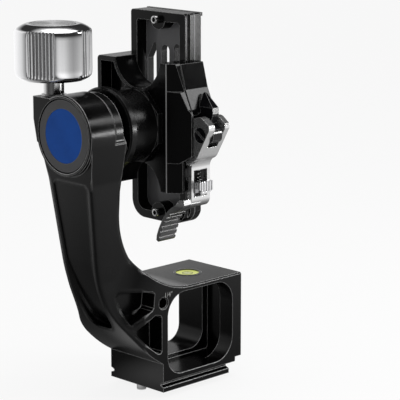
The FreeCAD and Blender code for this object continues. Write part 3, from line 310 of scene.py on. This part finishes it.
# the fifth number of each black skin below is the tone of its edge line, partly wear and partly
# painted highlight
SHARP_ONLY = (0.975, 0.86)
arm_black = anodised("arm_anodised", 0.0020, 0.21, 0.0000010, 0.30, gloss=0.28, bevel=0.60 * MM,
                     top_highlight_tone=0.95, soft=along_neck)
clamp_black = anodised("clamp_anodised", 0.0020, 0.18, 0.0000010, 0.44, gloss=0.28,
                       edges=SHARP_ONLY, painted_highlight=painted_slab_highlight)
hub_black = anodised("hub_anodised", 0.0020, 0.26, 0.0000010, 0.16, gloss=0.28, edges=SHARP_ONLY)
cap_black = anodised("cap_anodised", 0.055, 0.42, 0.000006, 0.24)
plate_black = anodised("plate_anodised", 0.0025, 0.16, 0.0000010, 0.48, gloss=0.20, painted_light=painted_light_on_pocket_floor)
dress(arm_black, "arm")
dress(clamp_black, "clamp_body", "moving_jaw")
dress(hub_black, "hub")
dress(cap_black, "end_cap")
dress(plate_black, "lens_plate")

# %% [markdown]
# ## Bright metals
# The knob is turned brass with a mirror chrome plating. The lever is plated in satin nickel, whose
# grain runs along the lever. Its ribbed tail is painted darker, a painted shade in place of the dark
# that it reflects. Screws, pins and bearing parts are turned stainless steel, and the cage and the
# brake shoe are brass. All are bare metals, so the colour sits in the reflection, and the roughness
# and the grain tell one from another.
# The knob's flat cap was faced on a lathe. Its rings are too fine to see one by one, but they spread
# each reflection outwards, so it gets an anisotropic finish with its grain round the knob's axis.
# The lever's pivot parts are blackened steel. Their oxide is thin and wears off at the edges, so a
# pale line is painted there that is partly this wear and partly a painted highlight.

# %% Make the bright metals
def bright_metal(name, color, roughness, stretch, grain, depth, bevel=0.3 * MM, metallic=1.0,
                 painted_shade=None):
    """A metal with fine grain. painted_shade(finish) gives where painted shade darkens it."""
    made = Finish(name, color, metallic, roughness)
    made.round_edges(bevel)
    lines = made.noise(grain, 2.0, made.stretched(stretch))
    cloud = made.noise(60.0, 2.0)
    rough = made.math("ADD", made.span(cloud, 0.3, 0.7, roughness * 0.85, roughness * 1.15),
                      made.span(lines, 0.3, 0.7, -roughness * 0.2, roughness * 0.2))
    tint = made.blend(made.span(cloud, 0.3, 0.7, 0.0, 1.0), [c * 0.97 for c in color], color)
    # painted shade: the colour is darkened here in place of the dark that the surface reflects
    if painted_shade:
        tint = made.blend(painted_shade(made), tint, [c * 0.22 for c in color])
        rough = made.math("ADD", rough, made.span(painted_shade(made), 0.0, 1.0, 0.0, 0.16))
    made.set(Base_Color=tint, Roughness=rough, Normal=made.bump(lines, depth))
    return made


def painted_dark_tail(made):
    """The lever's ribbed tail, below the button, where painted shade darkens the plating."""
    return made.span(made.along("Z"), 96.5 * MM, 93.5 * MM, 0.0, 1.0)


chrome = bright_metal("chrome_plate", (0.86, 0.86, 0.87), 0.11, (1.0, 1.0, 0.15), 2600.0, 0.0000012,
                      bevel=0.04 * MM)
nickel = bright_metal("satin_nickel", (0.86, 0.86, 0.86), 0.22, (1.0, 0.25, 0.25), 3200.0, 0.0000010,
                      bevel=0.15 * MM, metallic=0.92, painted_shade=painted_dark_tail)
EVEN = (1.0, 1.0, 1.0)
steel = bright_metal("turned_steel", (0.62, 0.62, 0.62), 0.22, EVEN, 3000.0, 0.000004)
brass = bright_metal("machined_brass", (0.72, 0.50, 0.22), 0.25, EVEN, 3000.0, 0.000004)
OXIDE, WORN_AND_LIT_EDGE = (0.004, 0.004, 0.005), (0.30, 0.30, 0.30)
gloss_black = Finish("black_oxide", OXIDE, 0.0, 0.16, Specular_IOR_Level=0.4)
gloss_black.round_edges(0.3 * MM)
# the edges are painted pale: partly worn oxide and partly a painted highlight
gloss_black.set(
    Base_Color=gloss_black.blend(gloss_black.edge_amount(), OXIDE, WORN_AND_LIT_EDGE),
    Normal=gloss_black.bump(gloss_black.noise(1500.0), 0.000006),
    Roughness=gloss_black.span(gloss_black.noise(90.0), 0.3, 0.7, 0.12, 0.22),
)
spun = bright_metal("spun_chrome", (0.80, 0.80, 0.81), 0.20, EVEN, 2600.0, 0.000002)
round_the_knob = spun.node("ShaderNodeTangent", direction_type="RADIAL", axis="Z").outputs[0]
spun.set(Anisotropic=0.75, Tangent=round_the_knob)
dress(chrome, "knob_grip", "lock_button")
dress(spun, "knob_cap")
dress(nickel, "lever")
dress(gloss_black, "pivot_link", "lever_pin")
dress(steel, "foot_stop_screws", "knob_screw", "knob_washer", "hub_screw", "hub_screws", "link_pin",
      "jaw_guide_pins", "jaw_springs", "plate_stop_screws", "spindle", "bearing_inner_ring",
      "bearing_outer_ring", "bearing_balls", "bearing_spacer", "bearing_circlip", "lock_spring")
dress(brass, "bearing_cage", "brake_shoe")

# %% [markdown]
# ## The blue disc
# The disc in the end cap is thin aluminium, spun so that it has fine rings, and dyed blue under a
# clear satin lacquer. Its rings run round the tilt axis, so the noise is read along the distance
# from that axis. The disc is left plain.

# %% Make the disc's finish
TILT_Z = 131.4 * MM
disc_blue = Finish("blue_disc", (0.003, 0.068, 0.340), 0.0, 0.38, Specular_IOR_Level=0.1)
disc_blue.round_edges(0.2 * MM)

from_axis = disc_blue.vector_math("SUBTRACT", disc_blue.place(), (0.0, 0.0, TILT_Z))[0]
flat = disc_blue.vector_math("MULTIPLY", from_axis, (0.0, 1.0, 1.0))[0]
distance = disc_blue.vector_math("LENGTH", flat)["Value"]
rings = disc_blue.node("ShaderNodeTexNoise", {"W": distance, "Scale": 5200.0, "Detail": 2.0},
                       noise_dimensions="1D").outputs["Fac"]
disc_blue.set(
    Base_Color=disc_blue.mottled(120.0, (0.002, 0.062, 0.320), (0.004, 0.076, 0.380)),
    Roughness=disc_blue.span(rings, 0.3, 0.7, 0.34, 0.44),
    Normal=disc_blue.bump(rings, 0.000006),
)
dress(disc_blue, "medallion")

# %% [markdown]
# ## A kit for turned and wound pieces
# The knob, the screws and the level's window are bodies of revolution, and the springs are wires
# wound on a helix. Both are written once as plain mesh code: a lathe that turns a profile, and a
# tube that follows points. A turned piece may get another radius at each angle, which is how ribs
# and sockets are cut.

# %% The lathe and the tube
def skin(rings, count):
    """Faces over rings of count vertices each, with a cap at both ends."""
    faces = []
    for ring in range(rings - 1):
        low, high = ring * count, (ring + 1) * count
        for i in range(count):
            j = (i + 1) % count
            faces.append((low + i, low + j, high + j, high + i))
    faces.append(tuple(range(count))[::-1])
    faces.append(tuple(range((rings - 1) * count, rings * count)))
    return faces


def lathe(profile, count, centre=(0.0, 0.0, 0.0), axis="z", shape=None):
    """Turn (along, radius) points round an axis. shape(ring, turn, radius) may change a radius."""
    verts = []
    for ring, (along, radius) in enumerate(profile):
        for i in range(count):
            turn = 2 * math.pi * i / count
            r = shape(ring, turn, radius) if shape else radius
            u, v = r * math.cos(turn), r * math.sin(turn)
            spot = (u, v, along) if axis == "z" else (along, u, v)
            verts.append(tuple(a + b for a, b in zip(spot, centre)))
    return verts, skin(len(profile), count)


def tube(points, radius, sides=10):
    """A round wire along points, closed at both ends."""
    verts = []
    points = [Vector(point) for point in points]
    side = None
    for i, point in enumerate(points):
        ahead = (points[min(i + 1, len(points) - 1)] - points[max(i - 1, 0)]).normalized()
        side = (ahead.orthogonal() if side is None else side - ahead * side.dot(ahead)).normalized()
        up = ahead.cross(side)
        for k in range(sides):
            turn = 2 * math.pi * k / sides
            verts.append(tuple(point + (side * math.cos(turn) + up * math.sin(turn)) * radius))
    return verts, skin(len(points), sides)


def softened(profile, rounds=3):
    """Cut the corners of a profile again and again, so that they turn into small radii."""
    for _ in range(rounds):
        finer = [profile[0]]
        for a, b in zip(profile, profile[1:]):
            finer.append(tuple(p * 0.75 + q * 0.25 for p, q in zip(a, b)))
            finer.append(tuple(p * 0.25 + q * 0.75 for p, q in zip(a, b)))
        profile = finer + [profile[-1]]
    return profile


print("a square corner softened twice has", len(softened([(0, 0), (0, 1), (1, 1)], 2)), "points")

# %% [markdown]
# ## A kit for pieces
# Every piece made here goes the same way: a mesh from vertices and faces, its normals turned
# outwards, smooth shading with sharp corners kept, a finish, and a body to ride on. Where the CAD
# model has a plainer solid for the piece, that solid is replaced.

# %% Make a piece from vertices and faces
def make_piece(name, shape, finish, body, replaced=None, crease=40):
    """A piece of the object: a mesh with a finish, on a body, in the place of CAD nodes."""
    mesh = bpy.data.meshes.new(name)
    mesh.from_pydata(shape[0], [], shape[1])
    shell = bmesh.new()
    shell.from_mesh(mesh)
    bmesh.ops.recalc_face_normals(shell, faces=shell.faces)
    shell.to_mesh(mesh)
    shell.free()
    mesh.shade_smooth()
    mesh.set_sharp_from_angle(angle=math.radians(crease))
    mesh.materials.append(finish.material)
    made = bpy.data.objects.new(name, mesh)
    bpy.context.scene.collection.objects.link(made)
    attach(made, body)
    if replaced:
        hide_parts(replaced)
    print(name, len(mesh.vertices), "vertices on", body)
    return made


# %% [markdown]
# ## The locking knob
# The knob is turned from bar and then milled: four fields of fine upright ribs for the fingers, and
# four smooth lobes between them. The shoulders are turned before the ribs are cut, so the ribs run
# out in the shoulders. The lathe's shape hook gives each angle its groove, and the smaller of the
# turned radius and the milled radius wins, as it does on the machine. Each groove has a wide floor
# and the ribs between are narrow ridges, so each rib shows as one bright line.

# %% Turn and mill the knob
KNOB_AXIS = (-65.6 * MM, 15.0 * MM, 0.0)
KNOB_LOW, KNOB_HIGH = 156.2 * MM, 182.4 * MM
KNOB_RADIUS = 18.39 * MM
KNOB_SIDES = 1440  # four to a degree, enough for a narrow rib
FIELD_MIDDLE = math.radians(29.2)
GROOVE_STEP = math.radians(5.35)
GROOVES = 9
GROOVE_DEEP = 0.60 * MM
RIDGE_POWER = 4
RUN_OUT = 0.3  # how far past a field's last groove the cut runs, in steps


def ribbed(ring, turn, radius):
    """The radius left after the ribs are milled. place counts grooves from a field's first one, and
    from_rib is nought on top of a rib and one in the middle of a groove."""
    quarter = math.pi / 2
    from_middle = (turn - FIELD_MIDDLE + quarter / 2) % quarter - quarter / 2
    last = GROOVES - 1
    place = from_middle / GROOVE_STEP + last / 2
    past = max(-place, place - last)
    if past >= RUN_OUT:
        return radius
    if past > 0.0:
        depth = GROOVE_DEEP * (1.0 - past / RUN_OUT)
    else:
        from_rib = abs(2.0 * (place % 1.0) - 1.0)
        depth = GROOVE_DEEP * (1.0 - (1.0 - from_rib) ** RIDGE_POWER)
    return min(radius, KNOB_RADIUS - depth)


underside = [(KNOB_LOW, 4.9 * MM), (KNOB_LOW, 15.2 * MM)]
outside = softened([
    (KNOB_LOW, 15.4 * MM), (KNOB_LOW + 1.4 * MM, 17.6 * MM), (KNOB_LOW + 3.0 * MM, KNOB_RADIUS),
    (KNOB_LOW + 8.0 * MM, KNOB_RADIUS), (KNOB_HIGH - 8.0 * MM, KNOB_RADIUS),
    (KNOB_HIGH - 3.4 * MM, KNOB_RADIUS), (KNOB_HIGH - 2.2 * MM, 17.7 * MM),
    (KNOB_HIGH - 0.7 * MM, 15.2 * MM), (KNOB_HIGH, 13.2 * MM), (KNOB_HIGH, 12.2 * MM),
], rounds=2)
seat = [(KNOB_HIGH, 11.25 * MM), (KNOB_HIGH - 0.9 * MM, 11.2 * MM), (KNOB_HIGH - 0.9 * MM, 2.0 * MM)]
knob_shape = lathe(underside + outside + seat, KNOB_SIDES, KNOB_AXIS, shape=ribbed)
knob = make_piece("locking_knob", knob_shape, chrome, "knob", "knob_grip", crease=28)

# %% [markdown]
# ## The springs
# A spring can't be told from a sleeve in CAD's collision, so there it was a plain tube. Here each
# is a real coil of round wire with closed ends. The small one pushes the safety button down, and on
# the real head it shortens as the button slides up; here it is wound at one length and rides with
# the lever. The two large ones, above and below the tilt axis, push the moving jaw open.

# %% Wind the springs
def coil(centre, axis, start, end, radius, wire, turns):
    """A wire wound on a helix, with half a turn laid flat at each end."""
    points = []
    steps = int(turns * 24)
    climb = (end - start) - 2 * wire
    for i in range(steps + 1):
        t = i / steps
        rise = min(max((t * turns - 0.5) / (turns - 1.0), 0.0), 1.0)
        along = start + wire + climb * rise
        turn = 2 * math.pi * turns * t
        across = centre[0] + radius * math.cos(turn)
        aside = radius * math.sin(turn)
        if axis == "z":
            points.append((across, centre[1] + aside, along))
        else:
            points.append((across, along, centre[2] + aside))
    return tube(points, wire)


SPRING_X, SPRING_Y = -12.55 * MM, -28.65 * MM
SPRING_LOW, SPRING_HIGH, SPRING_SEAT = 105.45 * MM, 111.25 * MM, 111.3 * MM
wound = coil((SPRING_X, SPRING_Y, 0.0), "z", SPRING_LOW, SPRING_HIGH, 0.95 * MM, 0.16 * MM, 4)
button_spring = make_piece("lock_spring_coil", wound, steel, "lever",
                           "lock_spring")
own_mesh(button_spring)

JAW_SPRING_X, JAW_SPRING_OFF = -16.0 * MM, 17.0 * MM
verts, faces = [], []
for z in (TILT_Z - JAW_SPRING_OFF, TILT_Z + JAW_SPRING_OFF):
    wound = coil((JAW_SPRING_X, 0.0, z), "y", -16.95 * MM, -14.05 * MM, 2.55 * MM, 0.28 * MM, 4)
    faces += [tuple(i + len(verts) for i in face) for face in wound[1]]
    verts += wound[0]
make_piece("jaw_spring_coils", (verts, faces), steel, "clamp", "jaw_springs")

# %% [markdown]
# ## The stop screws in the plate
# Each stop is a small cap screw with a hexagon socket. The socket is made by the lathe's shape hook,
# which turns a round ring into a six-sided one. The socket's walls and floor are given the same dark
# finish as the pivot parts.

# %% Turn the stop screws
HEAD_FACE = -14.7 * MM
HEAD_SEAT = -11.9 * MM
SOCKET = 1.25 * MM


def six_sided(first):
    """A shape hook that makes every ring six-sided, from the ring with this number on."""
    def shape(ring, turn, radius):
        if ring < first:
            return radius
        return radius * math.cos(math.pi / 6) / math.cos(turn % (math.pi / 3) - math.pi / 6)
    return shape


stop_profile = [
    (HEAD_SEAT, 1.9 * MM), (HEAD_FACE + 0.35 * MM, 1.98 * MM), (HEAD_FACE + 0.12 * MM, 1.90 * MM),
    (HEAD_FACE, 1.68 * MM), (HEAD_FACE, SOCKET * 1.04), (HEAD_FACE + 0.1 * MM, SOCKET),
    (HEAD_FACE + 1.6 * MM, SOCKET),
]
for place_name, z in (("top", 181.0 * MM), ("bottom", 85.6 * MM)):
    screw = make_piece("stop_screw_" + place_name,
                       lathe(stop_profile, 72, (0.0, 0.0, z), axis="x", shape=six_sided(4)),
                       steel, "plate", "plate_stop_screws")
    # the socket's walls and floor get the dark finish
    screw.data.materials.append(gloss_black.material)
    for face in screw.data.polygons:
        middle = face.center
        if math.hypot(middle.y, middle.z - z) < SOCKET * 1.01 and middle.x > HEAD_FACE + 0.05 * MM:
            face.material_index = 1

# %% [markdown]
# ## The size mark
# Beside the threaded socket the maker prints the thread's size, as on any such socket. It is a text
# curve turned into a mesh, laid on the base's side with hardly any thickness.

# %% Print the size mark
ink = Finish("pale_ink", (0.35, 0.35, 0.34), 0.0, 0.5)
ink.round_edges(0.05 * MM)
ink.set(
    Base_Color=ink.mottled(2500.0, (0.26, 0.26, 0.26), (0.42, 0.42, 0.41), clip=0.35),
    Normal=ink.bump(ink.noise(4000.0), 0.000004),
)
words = bpy.data.curves.new("size_mark", "FONT")
words.body = '1/4"'
words.size = 3.4 * MM
words.extrude = 0.03 * MM
drawn = bpy.data.objects.new("size_mark_curve", words)
letters = bpy.data.meshes.new_from_object(drawn)
upright = Matrix.Rotation(math.pi / 2, 4, "X")
letters.transform(Matrix.Translation((-26.6 * MM, -19.06 * MM, 48.1 * MM)) @ upright)
letters.materials.clear()
letters.materials.append(ink.material)
mark = bpy.data.objects.new("size_mark", letters)
bpy.context.scene.collection.objects.link(mark)
bpy.data.objects.remove(drawn)
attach(mark, "arm")
print("size mark", len(letters.vertices), "vertices")

# %% [markdown]
# ## The round level
# The vial is a small cup of yellow-green liquid with a bubble under a clear window. Its dye is
# fluorescent. The liquid gets a strong colour, a smooth surface and a faint painted glow of its own,
# painted light that keeps it bright in the shade. A thin dark ring is printed inside the window, and
# the bubble sits within it when the head is level. The window is a shallow dome of clear plastic,
# nearly all see-through, with a sharp gloss. It stands a hair above the liquid, so that the two
# surfaces never share a place. Window and ring are turned like the knob, because both are round.

# %% Make the level
# painted light: the emission is a painted glow, so the liquid stays bright in the shade
liquid = Finish("level_liquid", (0.74, 0.80, 0.16), 0.0, 0.15, Specular_IOR_Level=0.2,
                Emission_Color=(0.74, 0.80, 0.12, 1.0), Emission_Strength=0.22)
liquid.round_edges(0.2 * MM)
liquid.set(
    Base_Color=liquid.mottled(260.0, (0.70, 0.76, 0.17), (0.80, 0.85, 0.24)),
    Normal=liquid.bump(liquid.noise(300.0), 0.00001),
)
bubble = Finish("level_bubble", (0.80, 0.86, 0.35), 0.0, 0.05)
bubble.round_edges(0.4 * MM)
bubble.set(
    Base_Color=bubble.mottled(400.0, (0.74, 0.80, 0.34), (0.86, 0.90, 0.50)),
    Normal=bubble.bump(bubble.noise(500.0), 0.00001),
)
clear = Finish("level_window", (0.95, 0.97, 0.85), 0.0, 0.04, Alpha=0.05, Specular_IOR_Level=0.3)
clear.round_edges(0.2 * MM)
clear.set(
    Roughness=clear.span(clear.noise(200.0), 0.3, 0.7, 0.03, 0.06),
    Normal=clear.bump(clear.noise(300.0), 0.000004),
)
dress(liquid, "level_liquid")
dress(bubble, "level_bubble")
dress(gloss_black, "level_housing")
LEVEL_AT = (8.0 * MM, 0.0, 0.0)
SIDES = 96
RING_LOW, RING_HIGH, RING_INNER, RING_OUTER = 50.83 * MM, 50.88 * MM, 2.35 * MM, 2.75 * MM
window_profile = [
    (50.92 * MM, 1.0 * MM), (50.92 * MM, 5.95 * MM), (51.05 * MM, 5.98 * MM), (51.14 * MM, 5.7 * MM),
    (51.22 * MM, 4.2 * MM), (51.26 * MM, 2.2 * MM), (51.28 * MM, 0.4 * MM),
]
make_piece("level_window", lathe(window_profile, SIDES, LEVEL_AT), clear, "arm",
           "level_lens")
ring_profile = [
    (RING_LOW, RING_INNER), (RING_HIGH, RING_INNER), (RING_HIGH, RING_OUTER), (RING_LOW, RING_OUTER),
]
verts, faces = lathe(ring_profile, SIDES, LEVEL_AT)
# the two caps come off, and the ring closes from its last circle back to its first
last = (len(ring_profile) - 1) * SIDES
faces = faces[:-2] + [(last + i, last + (i + 1) % SIDES, (i + 1) % SIDES, i) for i in range(SIDES)]
make_piece("level_ring", (verts, faces), gloss_black, "arm")

# %% [markdown]
# ## The studio
# The background is white to the camera, to mirrors and to clear pieces, and only a soft grey to
# everything else, so it doesn't wash the black out. The floor is nearly white and keeps a light
# shadow: most of what the camera sees of it is its own white, and the rest is paper that the lamps
# light. Paper alone would look grey under these lamps, so the two are mixed.

# %% Build the floor and the background
FLOOR_Z = cad_box[0][2]
FLOOR_GAP = 0.2 * MM
FLOOR_HALF = 4.0
FLOOR_WHITE = 1.03
OWN_WHITE_SHARE = 0.84
SOFT_GREY = 0.50


def seen_directly(tree):
    """One for camera, mirror and see-through rays, and nought for light that falls on a surface."""
    path = tree.nodes.new("ShaderNodeLightPath")
    total = path.outputs["Is Camera Ray"]
    for name in ("Is Glossy Ray", "Is Transmission Ray"):
        either = tree.nodes.new("ShaderNodeMath")
        either.operation = "MAXIMUM"
        tree.links.new(total, either.inputs[0])
        tree.links.new(path.outputs[name], either.inputs[1])
        total = either.outputs[0]
    return total


world = bpy.data.worlds.new("studio")
world.use_nodes = True
bpy.context.scene.world = world
world_tree = world.node_tree
backdrop = world_tree.nodes["Background"]
backdrop.inputs["Color"].default_value = (1.0, 1.0, 1.0, 1.0)
strength = world_tree.nodes.new("ShaderNodeMapRange")
strength.inputs["To Min"].default_value = SOFT_GREY
strength.inputs["To Max"].default_value = 1.0
world_tree.links.new(seen_directly(world_tree), strength.inputs["Value"])
world_tree.links.new(strength.outputs["Result"], backdrop.inputs["Strength"])

floor_mesh = bpy.data.meshes.new("studio_floor")
corners = [(x * FLOOR_HALF, y * FLOOR_HALF, 0.0) for x, y in ((-1, -1), (1, -1), (1, 1), (-1, 1))]
floor_mesh.from_pydata(corners, [], [(0, 1, 2, 3)])
floor = bpy.data.objects.new("studio_floor", floor_mesh)
floor.location.z = FLOOR_Z - FLOOR_GAP
bpy.context.scene.collection.objects.link(floor)
floor_material = bpy.data.materials.new("studio_floor")
floor_material.use_nodes = True
floor_tree = floor_material.node_tree
floor_tree.nodes.clear()
paper = floor_tree.nodes.new("ShaderNodeBsdfDiffuse")
paper.inputs["Color"].default_value = (0.82, 0.82, 0.82, 1.0)
glow = floor_tree.nodes.new("ShaderNodeEmission")
glow.inputs["Strength"].default_value = FLOOR_WHITE
share = floor_tree.nodes.new("ShaderNodeMath")
share.operation = "MULTIPLY"
share.inputs[1].default_value = OWN_WHITE_SHARE
both = floor_tree.nodes.new("ShaderNodeMixShader")
floor_output = floor_tree.nodes.new("ShaderNodeOutputMaterial")
floor_tree.links.new(seen_directly(floor_tree), share.inputs[0])
floor_tree.links.new(share.outputs[0], both.inputs["Fac"])
floor_tree.links.new(paper.outputs[0], both.inputs[1])
floor_tree.links.new(glow.outputs[0], both.inputs[2])
floor_tree.links.new(both.outputs[0], floor_output.inputs["Surface"])
floor_mesh.materials.append(floor_material)
print("floor at", round(FLOOR_Z, 4))

# %% [markdown]
# ## The lamps
# A wide soft box above lights the colours evenly. Two small ones at the right are seen in the
# barrel, the lever and the jaw. In a studio a black card, a flag, keeps a lamp off one piece. Light
# linking does the same here: the low lamp doesn't light the knob, where it would leave a white
# stripe on the chrome.

# %% Hang the lamps
def lamp(name, place, aim, width, height, radiance):
    """A soft box. Its power is worked out from how bright its face should look."""
    light = bpy.data.lights.new(name, "AREA")
    light.shape = "RECTANGLE"
    light.size = width
    light.size_y = height
    light.energy = radiance * math.pi * width * height
    made = bpy.data.objects.new(name, light)
    made.location = place
    made.rotation_euler = (Vector(place) - Vector(aim)).to_track_quat("Z", "Y").to_euler()
    made.visible_camera = False
    bpy.context.scene.collection.objects.link(made)
    print(name, "power", round(light.energy, 3), "W")
    return made


MIDDLE = (-0.02, 0.0, 0.12)
lamp("top_box", (0.05, -0.05, 0.72), MIDDLE, 0.5, 0.5, 1.5)
low_strip = lamp("low_strip", (0.293, -0.377, 0.136), MIDDLE, 0.05, 0.05, 54.0)
flagged = bpy.data.collections.new("flagged_from_low_strip")
flagged.objects.link(knob)
flagged.collection_objects[0].light_linking.link_state = "EXCLUDE"
low_strip.light_linking.receiver_collection = flagged
lamp("high_strip", (0.317, -0.303, 0.362), MIDDLE, 0.12, 0.12, 7.5)

# %% [markdown]
# ## The light tent
# Black metal and chrome show nothing but what stands round them, so a studio puts such an object in
# a tent of white cloth and black card. This tent is a drum with a floor and a domed top. Only
# mirrors see it. Its tone follows the direction: dark on the camera's own side, a bright wall at
# the right, a grey one behind, then a dark band and a pale dome overhead. The floor is dim close to
# the object, but for a white card that lies under the arm and lights its heel. One ramp gives the
# tone of the cloth all round, and another how high the cloth reaches there.

# %% Build the light tent
TENT_RADIUS = 0.70
# the tone of the cloth by heading in degrees
TENT_TONES = [
    (-180, 0.10), (-160, 0.16), (-132, 0.04), (-124, 0.90), (-116, 1.15), (-106, 1.18), (-98, 0.98),
    (-87, 0.68), (-75, 0.53), (-63, 0.62), (-51, 0.78), (-39, 0.86), (-27, 0.82), (-15, 0.72),
    (-3, 0.62), (9, 0.55), (24, 0.48), (42, 0.70), (54, 1.00), (66, 1.10), (96, 1.04), (108, 0.97),
    (120, 0.86), (129, 0.74), (141, 0.36), (153, 0.12), (165, 0.05), (180, 0.10),
]
# how high the cloth reaches by heading, in degrees seen from the axis at MIDDLE's height
TENT_TOPS = [
    (-180, 10), (-110, -2), (-80, -2), (0, -2), (30, 10), (60, 14), (90, 30), (120, 45),
    (165, 45), (180, 10),
]
LOWEST_TOP, HIGHEST_TOP = -20, 60
TOP_SOFT = 8
DOME_FROM, DOME_FULL = 54, 66
SHADE_TONE, DOME_TONE, CARD_TONE, NEAR_BEHIND, NEAR_FRONT = 0.03, 0.75, 1.0, 0.10, 0.30
CARD_AT = (-0.060, 0.004, 0.0)
CARD_FULL, CARD_END = 0.014, 0.038
BRIGHTEST = 1.2
# height over the floor and radius
TENT_PROFILE = [
    (0.0, 0.001), (0.0, 0.2), (0.0, TENT_RADIUS), (0.35, TENT_RADIUS), (0.65, 0.55), (0.85, 0.3),
    (0.92, 0.001),
]
TENT_GAP = 0.4 * MM
tent = Finish("light_tent", (0.0, 0.0, 0.0), 0.0, 1.0)
tent.tree.nodes.remove(tent.shader)
spot = tent.node("ShaderNodeSeparateXYZ", {0: tent.place()})
heading = tent.math("ARCTAN2", spot.outputs["Y"], spot.outputs["X"])


def round_the_tent(levels):
    """A ramp of levels between 0 and 1, given by heading in degrees."""
    ramp = tent.node("ShaderNodeValToRGB", {"Fac": tent.span(heading, -math.pi, math.pi, 0.0, 1.0)})
    stops = ramp.color_ramp.elements
    stops.remove(stops[-1])
    for degrees, level in levels:
        stop = stops[0] if degrees == -180 else stops.new((degrees + 180) / 360)
        stop.position = (degrees + 180) / 360
        stop.color = (level, level, level, 1.0)
    return ramp.outputs["Color"]


def grey(tone):
    """A tone as a colour. Colours stop at 1, so the cloth's strength makes up for BRIGHTEST."""
    return (tone / BRIGHTEST,) * 3


def between(angle, low, high, at_low, at_high):
    """Map an angle in radians from a range in degrees."""
    return tent.span(angle, math.radians(low), math.radians(high), at_low, at_high)


wall = round_the_tent([(degrees, tone / BRIGHTEST) for degrees, tone in TENT_TONES])
reach = HIGHEST_TOP - LOWEST_TOP
tops = round_the_tent([(degrees, (top - LOWEST_TOP) / reach) for degrees, top in TENT_TOPS])
squares = [tent.math("MULTIPLY", spot.outputs[axis], spot.outputs[axis]) for axis in "XY"]
across = tent.math("SQRT", tent.math("ADD", *squares))
height = tent.math("ARCTAN2", tent.math("SUBTRACT", spot.outputs["Z"], MIDDLE[2]), across)
top_height = tent.span(tops, 0.0, 1.0, math.radians(LOWEST_TOP), math.radians(HIGHEST_TOP))
lit = between(tent.math("SUBTRACT", height, top_height), -TOP_SOFT, TOP_SOFT, 1.0, 0.0)
tone = tent.blend(lit, grey(SHADE_TONE), wall)
tone = tent.blend(between(height, DOME_FROM, DOME_FULL, 0.0, 1.0), tone, grey(DOME_TONE))
low_down = tent.span(spot.outputs["Z"], 0.02, 0.06, 1.0, 0.0)
near = tent.math("MULTIPLY", low_down, tent.span(across, 0.08, 0.32, 1.0, 0.0))
front_side = tent.span(spot.outputs["Y"], -0.03, 0.03, 1.0, 0.0)
tone = tent.blend(near, tone, tent.blend(front_side, grey(NEAR_BEHIND), grey(NEAR_FRONT)))
from_card = tent.vector_math("DISTANCE", tent.place(), CARD_AT)["Value"]
tone = tent.blend(tent.span(from_card, CARD_FULL, CARD_END, 1.0, 0.0), tone, grey(CARD_TONE))
cloth = tent.node("ShaderNodeEmission", {"Color": tone, "Strength": BRIGHTEST})
tent_output = next(n for n in tent.tree.nodes if n.type == "OUTPUT_MATERIAL")
tent.tree.links.new(cloth.outputs[0], tent_output.inputs["Surface"])

tent_low = FLOOR_Z + TENT_GAP
tent_verts, tent_faces = lathe([(tent_low + z, radius) for z, radius in TENT_PROFILE], SIDES)
tent_mesh = bpy.data.meshes.new("light_tent")
tent_mesh.from_pydata(tent_verts, [], tent_faces)
tent_mesh.materials.append(tent.material)
tent_object = bpy.data.objects.new("light_tent", tent_mesh)
bpy.context.scene.collection.objects.link(tent_object)
for ray in ("camera", "diffuse", "transmission", "volume_scatter", "shadow"):
    setattr(tent_object, "visible_" + ray, False)
print("tent tones", min(pair[1] for pair in TENT_TONES), "to", max(pair[1] for pair in TENT_TONES))
